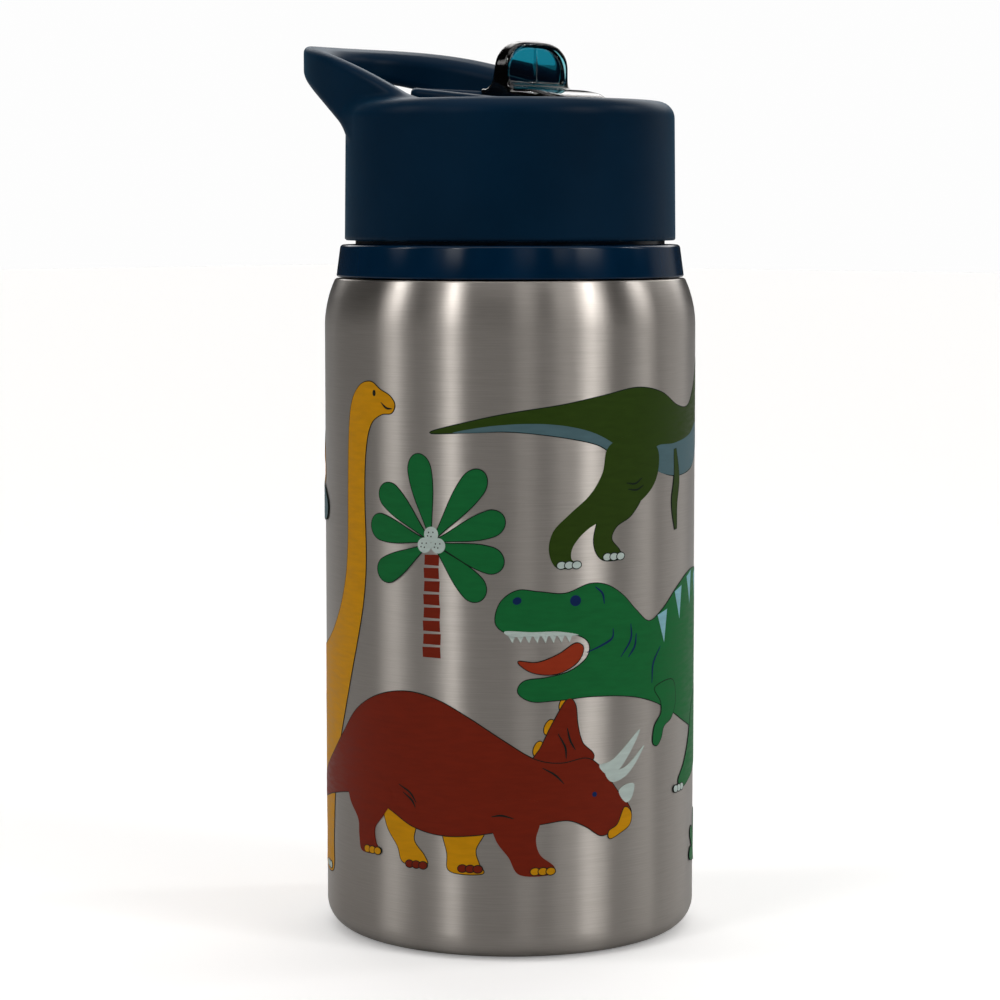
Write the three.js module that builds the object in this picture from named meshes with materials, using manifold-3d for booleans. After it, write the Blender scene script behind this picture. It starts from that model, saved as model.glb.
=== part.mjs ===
// Insulated kids water bottle: a double-wall steel body with a neck collar, and a screw lid that
// carries a loop handle, a flip spout and a drinking straw. Millimetres, +Z up.
// The origin is the centre of the base, on the surface the bottle stands on.
// The handle reaches towards -X, the closed spout points to +X and its hinge line lies along Y.

import * as THREE from "three";
import { mergeVertices } from "three/addons/utils/BufferGeometryUtils.js";
import Module from "manifold-3d";

const wasm = await Module();
wasm.setup();

// ---------------------------------------------------------------- driving dimensions
const ROUND = 40; // facets around the bottle's axis
const FINE = 20; // facets around small round pieces
const GAP = 0.3; // what neighbouring pieces keep between them

// steel body
const BODY_R = 36.5;
const SHEET = 0.6; // outer wall
const CORNER_R = 5.3; // rounding at the foot
const FOOT_R = 28.2; // inner edge of the standing ring
const DISC_Z = 2.6; // underside of the disc that closes the outer wall
const DIMPLE = 1.3;
const SHOULDER_Z = 119;
const SHOULDER_R = 22;
const LEDGE_Z = 128.4; // where the collar sits
const LOWER_NECK_R = 29.05;
const NECK_R = 28.1; // thread root
const NECK_BASE_Z = 137;
const NECK_TOP_Z = 148.6;

// inner wall
const LINER_R = 33.5;
const LINER_SHEET = 0.5;
const LINER_SHOULDER_Z = 112;
const LINER_SHOULDER_R = 16;
const LINER_NECK_R = NECK_R - SHEET - GAP;
const LINER_END_Z = 13.6;
const LINER_FLOOR_Z = 8.0;
const LIP_Z = 149.4;

// screw thread: one right-hand start
const PITCH = 4;
const TURNS = 1.5;
const MALE_START_Z = 140;
const FEMALE_START_Z = MALE_START_Z - PITCH / 2;
const RIDGE = 0.95; // how far a ridge stands out
const RIDGE_FOOT_HALF = 1.15;
const RIDGE_CREST_HALF = 0.45;

// collar
const COLLAR_R = 34.2;
const COLLAR_TOP_Z = 135.0;
const COLLAR_LIP_R = 30.4; // low lip inside the skirt, which closes the gap under the lid
const COLLAR_LIP_Z = 136.2;

// lid
const LID_R = 32.5;
const LID_TOP_R = 32.2;
const LID_BOTTOM_Z = 135.8;
const DECK_Z = 162.75;
const DECK_THICK = 2;
const LID_INNER_R = 30.8;
const RIM_R = 3.25;

// threaded insert
const INSERT_R = LID_INNER_R - GAP;
const INSERT_BORE_R = LOWER_NECK_R + GAP;
const INSERT_BOTTOM_Z = 136.6;
const CEILING_Z = 151.4;
const CEILING_THICK = 1.2;
const BOSS_R = 8;
const BOSS_BORE_R = 6.5;
const BOSS_BOTTOM_Z = 143;

// handle loop, seen from above a superellipse around the axis
const LOOP_REACH = 47.9;
const LOOP_HALF_WIDTH = 27.9;
const LOOP_BAR = 5.55;
const LOOP_POWER = 2.29;
const LOOP_ROOT_Z = 162.54; // height of the arch at the axis, its slope and its bend
const LOOP_SLOPE = 0.503;
const LOOP_BEND = 0.00488;

// spout
const PIVOT_Z = 159.3;
const BARREL_R = 5.8;
const SPOUT_HALF_WIDTH = 9.3;
const SPOUT_TIP_X = 20;
const MOUTH_BOTTOM_Z = 155;
const TAB_FRONT_X = 7.7;
const TAB_BACK_X = 3.7;
const TAB_TOP_Z = 174.6;
const FLOW_R = 3.1;
const PIN_R = 1.5;
const PIN_INNER_Y = 7.2;
const PIN_OUTER_Y = 11.6;

// pocket and housing around the spout
const POCKET_HALF_WIDTH = 9.7;
const POCKET_REAR_X = -9.3;
const POCKET_FRONT_X = 20.9;
const POCKET_FLOOR_Z = 154.4;
const POCKET_WALL = 2.2;
const POCKET_FLOOR = 1.2;
const TAB_SLOT_END_X = -15.8;
const TAB_SLOT_FLOOR_Z = 162.2;
const HOUSING_REAR_X = -17.2;
const HOUSING_FRONT_X = 9.5;
const HOUSING_HALF_WIDTH = 12.3;
const HOUSING_REAR_TOP_Z = 165.7;
const HOUSING_FRONT_TOP_Z = 162.9;

// seal under the spout
const SEAL_BOTTOM_Z = 150.3;
const SEAL_TOP_Z = 155;

// straw and its socket
const STRAW_R = 3.5;
const STRAW_BORE_R = 2.6;
const STRAW_BOTTOM_Z = 12;
const STRAW_TOP_Z = 148.9;

// vent valve
const VENT_Y = 17;
const VENT_STEM_R = 1.3;

// getter
const GETTER_X = 14;
const GETTER_BOTTOM_Z = 5.2;

// ---------------------------------------------------------------- materials
const plastic = (color, roughness) => new THREE.MeshStandardMaterial({ color, roughness, metalness: 0 });
const metal = (color, roughness) => new THREE.MeshStandardMaterial({ color, roughness, metalness: 1 });

const brushedSteel = metal(0x97908c, 0.32);
const innerSteel = metal(0xa8a6a3, 0.25);
const navyMatte = plastic(0x0c2138, 0.6);
const navyGloss = plastic(0x0a2744, 0.22);
const whitePlastic = plastic(0xd8dadb, 0.45);
const clearSilicone = plastic(0xc9cfd1, 0.55);
const clearStraw = plastic(0xd4e2e6, 0.2);
const getterMetal = metal(0x55524e, 0.8);
const sealGlass = plastic(0x3a4038, 0.15);
const teal = new THREE.MeshStandardMaterial({
  color: 0x14707f,
  roughness: 0.12,
  metalness: 0,
  transparent: true,
  opacity: 0.75,
});

// ---------------------------------------------------------------- building helpers
const { degToRad, radToDeg, lerp } = THREE.MathUtils;

/** A closed geometry as a solid that can be joined and cut. */
function solid(geometry) {
  geometry.deleteAttribute("normal");
  geometry.deleteAttribute("uv");
  const merged = mergeVertices(geometry, 1e-4);
  const kept = [];
  for (let i = 0; i < merged.index.count; i += 3) {
    const [a, b, c] = [0, 1, 2].map((k) => merged.index.getX(i + k));
    if (a !== b && b !== c && c !== a) kept.push(a, b, c);
  }
  const vertProperties = new Float32Array(merged.attributes.position.array);
  const triVerts = new Uint32Array(kept);
  return new wasm.Manifold(new wasm.Mesh({ numProp: 3, vertProperties, triVerts }));
}

/** The solid as a three.js geometry. */
function geometryOf(body) {
  const mesh = body.getMesh();
  const geometry = new THREE.BufferGeometry();
  geometry.setAttribute("position", new THREE.BufferAttribute(mesh.vertProperties, 3));
  geometry.setIndex(new THREE.BufferAttribute(mesh.triVerts, 1));
  geometry.computeVertexNormals();
  return geometry;
}

/** Points of an arc in a radius-height section. */
function arc(centreR, centreZ, radius, fromDeg, toDeg, steps) {
  return Array.from({ length: steps + 1 }, (_, i) => {
    const angle = degToRad(lerp(fromDeg, toDeg, i / steps));
    return [centreR + radius * Math.cos(angle), centreZ + radius * Math.sin(angle)];
  });
}

/** The angle on an arc, in degrees, where its radius from the axis is r. */
function angleAt(r, centreR, radius) {
  return radToDeg(Math.acos((r - centreR) / radius));
}

/** Turns a closed section of [radius, height] points about the Z axis. */
function revolve(section, segments = ROUND) {
  const points = section.map(([r, z]) => new THREE.Vector2(r, z));
  const onAxis = section[0][0] === 0 && section.at(-1)[0] === 0;
  if (THREE.ShapeUtils.area(points) < 0) points.reverse();
  if (!onAxis) points.push(points[0].clone());
  return solid(new THREE.LatheGeometry(points, segments).rotateX(Math.PI / 2));
}

/** A plan outline (x, y) raised from height bottom to height top. */
function raised(outline, bottom, top) {
  const geometry = new THREE.ExtrudeGeometry(outline, {
    depth: top - bottom,
    bevelEnabled: false,
    curveSegments: 6,
  });
  return solid(geometry.translate(0, 0, bottom));
}

/** A side outline (x, z) run across the object, from -halfWidth to +halfWidth in y. */
function across(outline, halfWidth) {
  const geometry = new THREE.ExtrudeGeometry(outline, {
    depth: 2 * halfWidth,
    bevelEnabled: false,
    curveSegments: 8,
  });
  return solid(geometry.rotateX(Math.PI / 2).translate(0, halfWidth, 0));
}

/** A front outline (y, z) run along the object from x = fromX to x = toX. */
function along(outline, fromX, toX) {
  const geometry = new THREE.ExtrudeGeometry(outline, {
    depth: toX - fromX,
    bevelEnabled: false,
    curveSegments: 6,
  });
  const turn = new THREE.Matrix4().makeBasis(
    new THREE.Vector3(0, 1, 0),
    new THREE.Vector3(0, 0, 1),
    new THREE.Vector3(1, 0, 0),
  );
  return solid(geometry.applyMatrix4(turn).translate(fromX, 0, 0));
}

/** A rectangle with one corner radius at its low-x end and another at its high-x end. */
function plate(fromX, toX, halfWidth, rearRadius, frontRadius) {
  const shape = new THREE.Shape();
  shape.moveTo(fromX + rearRadius, -halfWidth);
  shape.lineTo(toX - frontRadius, -halfWidth);
  shape.absarc(toX - frontRadius, -halfWidth + frontRadius, frontRadius, -Math.PI / 2, 0);
  shape.absarc(toX - frontRadius, halfWidth - frontRadius, frontRadius, 0, Math.PI / 2);
  shape.absarc(fromX + rearRadius, halfWidth - rearRadius, rearRadius, Math.PI / 2, Math.PI);
  shape.absarc(fromX + rearRadius, -halfWidth + rearRadius, rearRadius, Math.PI, 1.5 * Math.PI);
  return shape;
}

/** A box given by its lowest and highest corners. */
function block([x0, y0, z0], [x1, y1, z1]) {
  const geometry = new THREE.BoxGeometry(x1 - x0, y1 - y0, z1 - z0);
  return solid(geometry.translate((x0 + x1) / 2, (y0 + y1) / 2, (z0 + z1) / 2));
}

/** A round bar along Y at the spout's pivot height, between two y values. */
function pivotBar(radius, fromY, toY, segments = FINE) {
  const geometry = new THREE.CylinderGeometry(radius, radius, toY - fromY, segments);
  return solid(geometry.translate(0, (fromY + toY) / 2, 0).translate(0, 0, PIVOT_Z));
}

/** A round bar along Z at a place in plan, between two heights. */
function post(radius, x, y, bottom, top, segments = FINE) {
  const geometry = new THREE.CylinderGeometry(radius, radius, top - bottom, segments).rotateX(Math.PI / 2);
  return solid(geometry.translate(x, y, (bottom + top) / 2));
}

/** A helical ridge: a straight bar bent round the axis, with its own height at each edge. */
function threadRidge(innerR, innerHalf, outerR, outerHalf, startZ) {
  const steps = Math.round(TURNS * ROUND);
  const bar = new THREE.BoxGeometry(1, 1, 1, 1, 1, steps);
  const place = bar.attributes.position;
  for (let i = 0; i < place.count; i += 1) {
    const outward = place.getX(i) + 0.5;
    const turned = (0.5 - place.getZ(i)) * TURNS;
    const radius = lerp(innerR, outerR, outward);
    const height = startZ + turned * PITCH + 2 * place.getY(i) * lerp(innerHalf, outerHalf, outward);
    const angle = turned * 2 * Math.PI;
    place.setXYZ(i, radius * Math.cos(angle), radius * Math.sin(angle), height);
  }
  return solid(bar);
}

// ---------------------------------------------------------------- steel body
const shoulderR = BODY_R - SHOULDER_R; // centre of the shoulder's arc

/** Outer wall from the standing ring to the threaded neck. */
function outerShell() {
  const inner = SHOULDER_R - SHEET;
  const ledgeAngle = radToDeg(Math.asin((LEDGE_Z - SHOULDER_Z) / SHOULDER_R));
  const ledgeAngleInside = radToDeg(Math.asin((LEDGE_Z - SHEET - SHOULDER_Z) / inner));
  const outside = [
    [FOOT_R, 3.6],
    [FOOT_R, SHEET],
    [FOOT_R + SHEET, 0],
    ...arc(BODY_R - CORNER_R, CORNER_R, CORNER_R, -90, 0, 4),
    ...arc(shoulderR, SHOULDER_Z, SHOULDER_R, 0, ledgeAngle, 4),
    [LOWER_NECK_R + 1, LEDGE_Z],
    [LOWER_NECK_R + 0.25, LEDGE_Z + 0.45],
    [LOWER_NECK_R, LEDGE_Z + 1.2],
    [LOWER_NECK_R, NECK_BASE_Z - 0.7],
    [NECK_R, NECK_BASE_Z],
    [NECK_R, NECK_TOP_Z],
  ];
  const inside = [
    [NECK_R - SHEET, NECK_TOP_Z],
    [NECK_R - SHEET, NECK_BASE_Z - 0.1],
    [LOWER_NECK_R - SHEET, NECK_BASE_Z - 0.9],
    [LOWER_NECK_R - SHEET, LEDGE_Z + 1],
    [LOWER_NECK_R, LEDGE_Z - SHEET],
    ...arc(shoulderR, SHOULDER_Z, inner, ledgeAngleInside, 0, 3),
    ...arc(BODY_R - CORNER_R, CORNER_R, CORNER_R - SHEET, 0, -90, 3),
    [FOOT_R + SHEET, SHEET],
    [FOOT_R + SHEET, 3.6],
  ];
  const ridge = threadRidge(
    NECK_R - SHEET / 2,
    RIDGE_FOOT_HALF,
    NECK_R + RIDGE,
    RIDGE_CREST_HALF,
    MALE_START_Z,
  );
  return revolve([...outside, ...inside]).add(ridge);
}

/** Disc that closes the outer wall, with the dimple through which the air is drawn out. */
function outerBottom() {
  const rim = FOOT_R - GAP;
  const dimple = DISC_Z + DIMPLE;
  return revolve([
    [1, dimple],
    [2.2, dimple],
    [3.4, DISC_Z],
    [rim, DISC_Z],
    [rim, DISC_Z + SHEET],
    [3.8, DISC_Z + SHEET],
    [2.6, dimple + SHEET],
    [1, dimple + SHEET],
  ]);
}

/** Bead of solder glass that closes the pump-out hole. */
function vacuumSeal() {
  const bottom = DISC_Z + 0.1;
  const top = DISC_Z + DIMPLE - GAP;
  return revolve([[0, bottom], [1.4, bottom], [1.9, bottom + 0.3], [1.9, top], [0, top]], FINE);
}

/** Flat cover under the base, which hides the sealed dimple. */
function baseCover() {
  const rim = FOOT_R - GAP;
  return revolve([
    [0, 0],
    [rim - 0.7, 0],
    [rim, 0.7],
    [rim, 1.6],
    [rim - 0.6, 1.6],
    [rim - 0.6, 0.9],
    [rim - 1, SHEET],
    [0, SHEET],
  ]);
}

/** Inner wall, turned out over the neck's end as the drinking lip. */
function innerLiner() {
  const centreR = LINER_R - LINER_SHOULDER_R;
  const inner = LINER_SHOULDER_R - LINER_SHEET;
  const boreR = LINER_NECK_R - LINER_SHEET;
  const outsideEnd = angleAt(LINER_NECK_R, centreR, LINER_SHOULDER_R);
  return revolve([
    [LINER_R, LINER_END_Z],
    ...arc(centreR, LINER_SHOULDER_Z, LINER_SHOULDER_R, 0, outsideEnd, 4),
    [LINER_NECK_R, NECK_TOP_Z + GAP],
    [NECK_R, NECK_TOP_Z + GAP],
    [NECK_R, LIP_Z - 0.2],
    [NECK_R - 0.2, LIP_Z],
    [boreR + 0.2, LIP_Z],
    [boreR, LIP_Z - 0.2],
    ...arc(centreR, LINER_SHOULDER_Z, inner, angleAt(boreR, centreR, inner), 0, 4),
    [LINER_R - LINER_SHEET, LINER_END_Z],
  ]);
}

/** Pressed cup welded to the inner wall as its floor. */
function innerBottom() {
  const bend = 5;
  const centreR = LINER_R - bend;
  const centreZ = LINER_FLOOR_Z + bend;
  return revolve([
    [0, LINER_FLOOR_Z],
    ...arc(centreR, centreZ, bend, -90, 0, 3),
    [LINER_R, LINER_END_Z - GAP],
    [LINER_R - LINER_SHEET, LINER_END_Z - GAP],
    ...arc(centreR, centreZ, bend - LINER_SHEET, 0, -90, 3),
    [0, LINER_FLOOR_Z + LINER_SHEET],
  ]);
}

/** Small pressed cup under the floor that holds the getter in the vacuum. */
function getterCup() {
  const top = LINER_FLOOR_Z - GAP;
  const lip = GETTER_BOTTOM_Z + 0.4;
  return revolve(
    [
      [0, top - LINER_SHEET],
      [4.5, top - LINER_SHEET],
      [4.5, lip],
      [3.9, lip],
      [3.9, GETTER_BOTTOM_Z],
      [5, GETTER_BOTTOM_Z],
      [5, top],
      [0, top],
    ],
    FINE,
  ).translate(GETTER_X, 0, 0);
}

/** Pressed powder tablet that takes up the last gas. */
function getterTablet() {
  const bottom = GETTER_BOTTOM_Z + 0.4 + GAP;
  return post(4.2, GETTER_X, 0, bottom, bottom + 1);
}

/** Glossy ring between the steel shoulder and the lid. */
function neckCollar() {
  const bottom = LEDGE_Z + GAP;
  const bore = LOWER_NECK_R + GAP;
  return revolve([
    [bore, bottom + 1.4],
    [bore + 0.9, bottom],
    [COLLAR_R - 0.3, bottom],
    [COLLAR_R, bottom + 0.3],
    [COLLAR_R - 0.75, COLLAR_TOP_Z - 0.7],
    [COLLAR_R - 1, COLLAR_TOP_Z - 0.25],
    [COLLAR_R - 1.5, COLLAR_TOP_Z],
    [COLLAR_LIP_R, COLLAR_TOP_Z],
    [COLLAR_LIP_R, COLLAR_LIP_Z],
    [bore, COLLAR_LIP_Z],
  ]);
}

// ---------------------------------------------------------------- lid
/** Plan outline of the handle loop: a superellipse with half axes reach and halfWidth. */
function loopOutline(reach, halfWidth) {
  const steps = 56;
  const points = Array.from({ length: steps }, (_, i) => {
    const angle = (i / steps) * 2 * Math.PI;
    const bulge = (value) => Math.sign(value) * Math.abs(value) ** (2 / LOOP_POWER);
    return new THREE.Vector2(reach * bulge(Math.cos(angle)), halfWidth * bulge(Math.sin(angle)));
  });
  return new THREE.Shape(points);
}

/** The arched loop: its plan ring cut to the arch above and to the arms' sloping edge below. */
function handleLoop() {
  const archSteps = 14;
  const arch = Array.from({ length: archSteps + 1 }, (_, i) => {
    const reach = lerp(-1, LOOP_REACH + 0.5, i / archSteps);
    const height = LOOP_ROOT_Z + LOOP_SLOPE * reach - LOOP_BEND * reach ** 2;
    return new THREE.Vector2(-reach, height);
  });
  const under = new THREE.QuadraticBezierCurve(
    new THREE.Vector2(-LOOP_REACH - 0.5, 169),
    new THREE.Vector2(-32, 166.5),
    new THREE.Vector2(-16, 153.6),
  ).getPoints(10);
  const side = new THREE.Shape([...arch, ...under, new THREE.Vector2(1, 153.6)]);
  const ring = loopOutline(LOOP_REACH, LOOP_HALF_WIDTH);
  ring.holes.push(loopOutline(LOOP_REACH - LOOP_BAR, LOOP_HALF_WIDTH - LOOP_BAR));
  const insideLid = post(LID_INNER_R + 0.6, 0, 0, 150, DECK_Z - 1.2, ROUND);
  return raised(ring, 150, 180)
    .intersect(across(side, LOOP_HALF_WIDTH + 1))
    .subtract(insideLid);
}

/** Raised cheeks on the deck, which rise towards the handle and flank the spout. */
function hingeHousing() {
  const side = new THREE.Shape([
    new THREE.Vector2(HOUSING_REAR_X - 1, DECK_Z - 1),
    new THREE.Vector2(HOUSING_FRONT_X + 1, DECK_Z - 1),
    new THREE.Vector2(HOUSING_FRONT_X + 1, HOUSING_FRONT_TOP_Z),
    new THREE.Vector2(HOUSING_REAR_X + 1, HOUSING_REAR_TOP_Z),
    new THREE.Vector2(HOUSING_REAR_X - 1, HOUSING_REAR_TOP_Z - 1.2),
  ]);
  const plan = plate(HOUSING_REAR_X, HOUSING_FRONT_X, HOUSING_HALF_WIDTH, 3.5, 2);
  return raised(plan, DECK_Z - 1, DECK_Z + 5).intersect(across(side, HOUSING_HALF_WIDTH + 1));
}

/** Lid moulding: skirt, deck, handle loop, hinge housing and the pocket for the spout. */
function lidShell() {
  const cup = revolve([
    [0, LID_BOTTOM_Z],
    [LID_R - 0.3, LID_BOTTOM_Z],
    [LID_R, LID_BOTTOM_Z + 0.3],
    ...arc(LID_TOP_R - RIM_R, DECK_Z - RIM_R, RIM_R, 0, 90, 5),
    [0, DECK_Z],
  ]);
  const hollow = post(LID_INNER_R, 0, 0, LID_BOTTOM_Z - 1, DECK_Z - DECK_THICK, ROUND);
  const wallBottom = POCKET_FLOOR_Z - POCKET_FLOOR;
  const walls = raised(
    plate(POCKET_REAR_X - 1.6, POCKET_FRONT_X + 1.5, POCKET_HALF_WIDTH + POCKET_WALL, 3, 6.5),
    wallBottom,
    DECK_Z - 1,
  );
  const pocket = raised(
    plate(POCKET_REAR_X, POCKET_FRONT_X, POCKET_HALF_WIDTH, 1.5, 5.4),
    POCKET_FLOOR_Z,
    DECK_Z + 10,
  );
  const tabSlot = block(
    [TAB_SLOT_END_X, -POCKET_HALF_WIDTH, TAB_SLOT_FLOOR_Z],
    [0, POCKET_HALF_WIDTH, DECK_Z + 10],
  );
  const barrelRelief = pivotBar(BARREL_R + 0.5, -POCKET_HALF_WIDTH, POCKET_HALF_WIDTH);
  const sealHole = post(BOSS_BORE_R + 0.1, 0, 0, wallBottom - 1, POCKET_FLOOR_Z + 1);
  const pinHole = pivotBar(PIN_R + GAP, -POCKET_HALF_WIDTH - 3, POCKET_HALF_WIDTH + 3, 16);
  return cup
    .subtract(hollow)
    .add(walls)
    .add(handleLoop())
    .add(hingeHousing())
    .subtract(pocket)
    .subtract(tabSlot)
    .subtract(barrelRelief)
    .subtract(sealHole)
    .subtract(pinHole);
}

/** Threaded inner cup, fixed in the lid, with the boss that carries the straw. */
function threadedInsert() {
  const cup = revolve([
    [INSERT_BORE_R, INSERT_BOTTOM_Z],
    [INSERT_R, INSERT_BOTTOM_Z],
    [INSERT_R, CEILING_Z + CEILING_THICK],
    [BOSS_BORE_R, CEILING_Z + CEILING_THICK],
    [BOSS_BORE_R, BOSS_BOTTOM_Z],
    [BOSS_R, BOSS_BOTTOM_Z],
    [BOSS_R, CEILING_Z],
    [INSERT_BORE_R, CEILING_Z],
  ]);
  const ridge = threadRidge(
    INSERT_BORE_R - RIDGE + 0.05,
    RIDGE_CREST_HALF,
    INSERT_BORE_R + 0.4,
    RIDGE_FOOT_HALF,
    FEMALE_START_Z,
  );
  const holes = [[VENT_STEM_R + GAP, 0], [0.6, 2.5], [0.6, -2.5]];
  const drill = ([radius, x]) => post(radius, x, VENT_Y, CEILING_Z - 1, CEILING_Z + 3, 12);
  return holes.reduce((body, hole) => body.subtract(drill(hole)), cup.add(ridge));
}

/** Silicone ring pressed between the lip and the insert's ceiling. */
function lidGasket() {
  const [bottom, top] = [LIP_Z + GAP, CEILING_Z - GAP];
  const [bore, rim] = [25.6, INSERT_BORE_R - GAP];
  return revolve([
    [bore, bottom + 0.4],
    [bore + 0.4, bottom],
    [rim - 0.3, bottom],
    [rim, bottom + 0.3],
    [rim, top],
    [bore, top],
  ]);
}

/** Silicone umbrella valve that lets air in as the drink is drawn out. */
function ventValve() {
  const flap = CEILING_Z - GAP;
  const above = CEILING_Z + CEILING_THICK + GAP;
  return revolve(
    [
      [0, flap - 1.1],
      [1.5, flap - 1.1],
      [4, flap - 0.5],
      [4, flap - 0.2],
      [VENT_STEM_R, flap],
      [VENT_STEM_R, above],
      [2, above],
      [1.6, above + 1.1],
      [0, above + 1.6],
    ],
    FINE,
  ).translate(0, VENT_Y, 0);
}

/** Silicone seat on which the spout's barrel turns and seals. */
function spoutSeal() {
  const ring = revolve(
    [
      [STRAW_BORE_R, SEAL_BOTTOM_Z],
      [BOSS_BORE_R - GAP, SEAL_BOTTOM_Z],
      [BOSS_BORE_R - GAP, SEAL_TOP_Z],
      [STRAW_BORE_R, SEAL_TOP_Z],
    ],
    FINE,
  );
  return ring.subtract(pivotBar(BARREL_R + GAP, -POCKET_HALF_WIDTH, POCKET_HALF_WIDTH, 2 * FINE));
}

/** Silicone sleeve that holds the straw in the insert's boss. */
function strawSocket() {
  const flange = BOSS_BOTTOM_Z - GAP;
  const sleeve = BOSS_BORE_R - GAP;
  const bore = STRAW_R + GAP;
  const top = SEAL_BOTTOM_Z - GAP;
  return revolve(
    [
      [bore, flange - 0.5],
      [BOSS_R, flange - 0.5],
      [BOSS_R, flange],
      [sleeve, flange],
      [sleeve, top],
      [STRAW_BORE_R, top],
      [STRAW_BORE_R, STRAW_TOP_Z + GAP],
      [bore, STRAW_TOP_Z + GAP],
    ],
    FINE,
  );
}

/** Straw from the socket down to just above the floor. */
function straw() {
  return revolve(
    [
      [STRAW_BORE_R, STRAW_BOTTOM_Z],
      [STRAW_R, STRAW_BOTTOM_Z],
      [STRAW_R, STRAW_TOP_Z],
      [STRAW_BORE_R, STRAW_TOP_Z],
    ],
    FINE,
  );
}

// ---------------------------------------------------------------- spout
/** Side outline of the spout: mouthpiece, thumb tab with its flared back, and barrel. */
function spoutSide() {
  const top = PIVOT_Z + BARREL_R;
  const tipRound = 3;
  const fillet = 1.2;
  const side = new THREE.Shape();
  side.moveTo(0, MOUTH_BOTTOM_Z);
  side.lineTo(SPOUT_TIP_X - 1, MOUTH_BOTTOM_Z);
  side.lineTo(SPOUT_TIP_X, MOUTH_BOTTOM_Z + 1);
  side.absarc(SPOUT_TIP_X - tipRound, top - tipRound, tipRound, 0, Math.PI / 2);
  side.absarc(TAB_FRONT_X + fillet, top + fillet, fillet, 1.5 * Math.PI, Math.PI, true);
  side.absarc(TAB_FRONT_X - 1, TAB_TOP_Z - 1, 1, 0, Math.PI / 2);
  side.absarc(TAB_BACK_X + 1, TAB_TOP_Z - 1, 1, Math.PI / 2, Math.PI);
  side.quadraticCurveTo(TAB_BACK_X, top + 1, 1.6, top - 1);
  side.lineTo(0, top - 1);
  return side;
}

/** Flip spout: thumb tab, mouthpiece and barrel in one moulding, bored from tip to barrel. */
function spout() {
  const front = new THREE.Shape();
  const corner = 5;
  front.moveTo(-SPOUT_HALF_WIDTH, PIVOT_Z - BARREL_R - 1);
  front.lineTo(SPOUT_HALF_WIDTH, PIVOT_Z - BARREL_R - 1);
  front.absarc(SPOUT_HALF_WIDTH - corner, TAB_TOP_Z - corner, corner, 0, Math.PI / 2);
  front.absarc(-SPOUT_HALF_WIDTH + corner, TAB_TOP_Z - corner, corner, Math.PI / 2, Math.PI);
  const plan = plate(-BARREL_R - 1, SPOUT_TIP_X, SPOUT_HALF_WIDTH, 0.01, 5);
  const body = across(spoutSide(), SPOUT_HALF_WIDTH)
    .intersect(along(front, -BARREL_R - 1, SPOUT_TIP_X + 1))
    .intersect(raised(plan, PIVOT_Z - BARREL_R - 1, TAB_TOP_Z + 1))
    .add(pivotBar(BARREL_R, -SPOUT_HALF_WIDTH, SPOUT_HALF_WIDTH, 2 * FINE));
  const flowGeometry = new THREE.CylinderGeometry(FLOW_R, FLOW_R, 40, 20).rotateZ(Math.PI / 2);
  const flow = solid(flowGeometry.translate(0, 0, PIVOT_Z));
  const pinBores = [-1, 1].map((side) => {
    const [near, far] = [side * (PIN_INNER_Y - GAP), side * (SPOUT_HALF_WIDTH + 1)];
    return pivotBar(PIN_R + GAP, Math.min(near, far), Math.max(near, far), 16);
  });
  const panels = [-1, 1].map((side) => {
    const [near, far] = [side * 0.3, side * 7];
    return block(
      [TAB_FRONT_X - 1.4, Math.min(near, far), 167.4],
      [TAB_FRONT_X + 1, Math.max(near, far), TAB_TOP_Z - 2.3],
    );
  });
  return [flow, ...pinBores, ...panels].reduce((piece, cut) => piece.subtract(cut), body);
}

/** Steel dowel on one side of the spout: side is -1 (towards -Y) or +1. */
function spoutPin(side) {
  const [near, far] = [side * PIN_INNER_Y, side * PIN_OUTER_Y];
  return pivotBar(PIN_R, Math.min(near, far), Math.max(near, far), 16);
}

// ---------------------------------------------------------------- assembly
function piece(name, body, material) {
  const mesh = new THREE.Mesh(geometryOf(body), material);
  mesh.name = name;
  return mesh;
}

const bottle = new THREE.Group().add(
  piece("outer_shell", outerShell(), brushedSteel),
  piece("outer_bottom", outerBottom(), innerSteel),
  piece("vacuum_seal", vacuumSeal(), sealGlass),
  piece("base_cover", baseCover(), brushedSteel),
  piece("inner_liner", innerLiner(), innerSteel),
  piece("inner_bottom", innerBottom(), innerSteel),
  piece("getter_cup", getterCup(), innerSteel),
  piece("getter_tablet", getterTablet(), getterMetal),
  piece("neck_collar", neckCollar(), navyGloss),
);

const lid = new THREE.Group().add(
  piece("lid_shell", lidShell(), navyMatte),
  piece("threaded_insert", threadedInsert(), whitePlastic),
  piece("lid_gasket", lidGasket(), clearSilicone),
  piece("vent_valve", ventValve(), clearSilicone),
  piece("spout_seal", spoutSeal(), clearSilicone),
  piece("straw_socket", strawSocket(), clearSilicone),
  piece("straw", straw(), clearStraw),
  piece("spout_pin_right", spoutPin(-1), innerSteel),
  piece("spout_pin_left", spoutPin(1), innerSteel),
);

const group = new THREE.Group().add(bottle, lid, piece("spout", spout(), teal));

export default group;
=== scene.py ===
import math

import bpy
import numpy as np
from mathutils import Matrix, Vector
from mathutils.geometry import delaunay_2d_cdt


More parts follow.
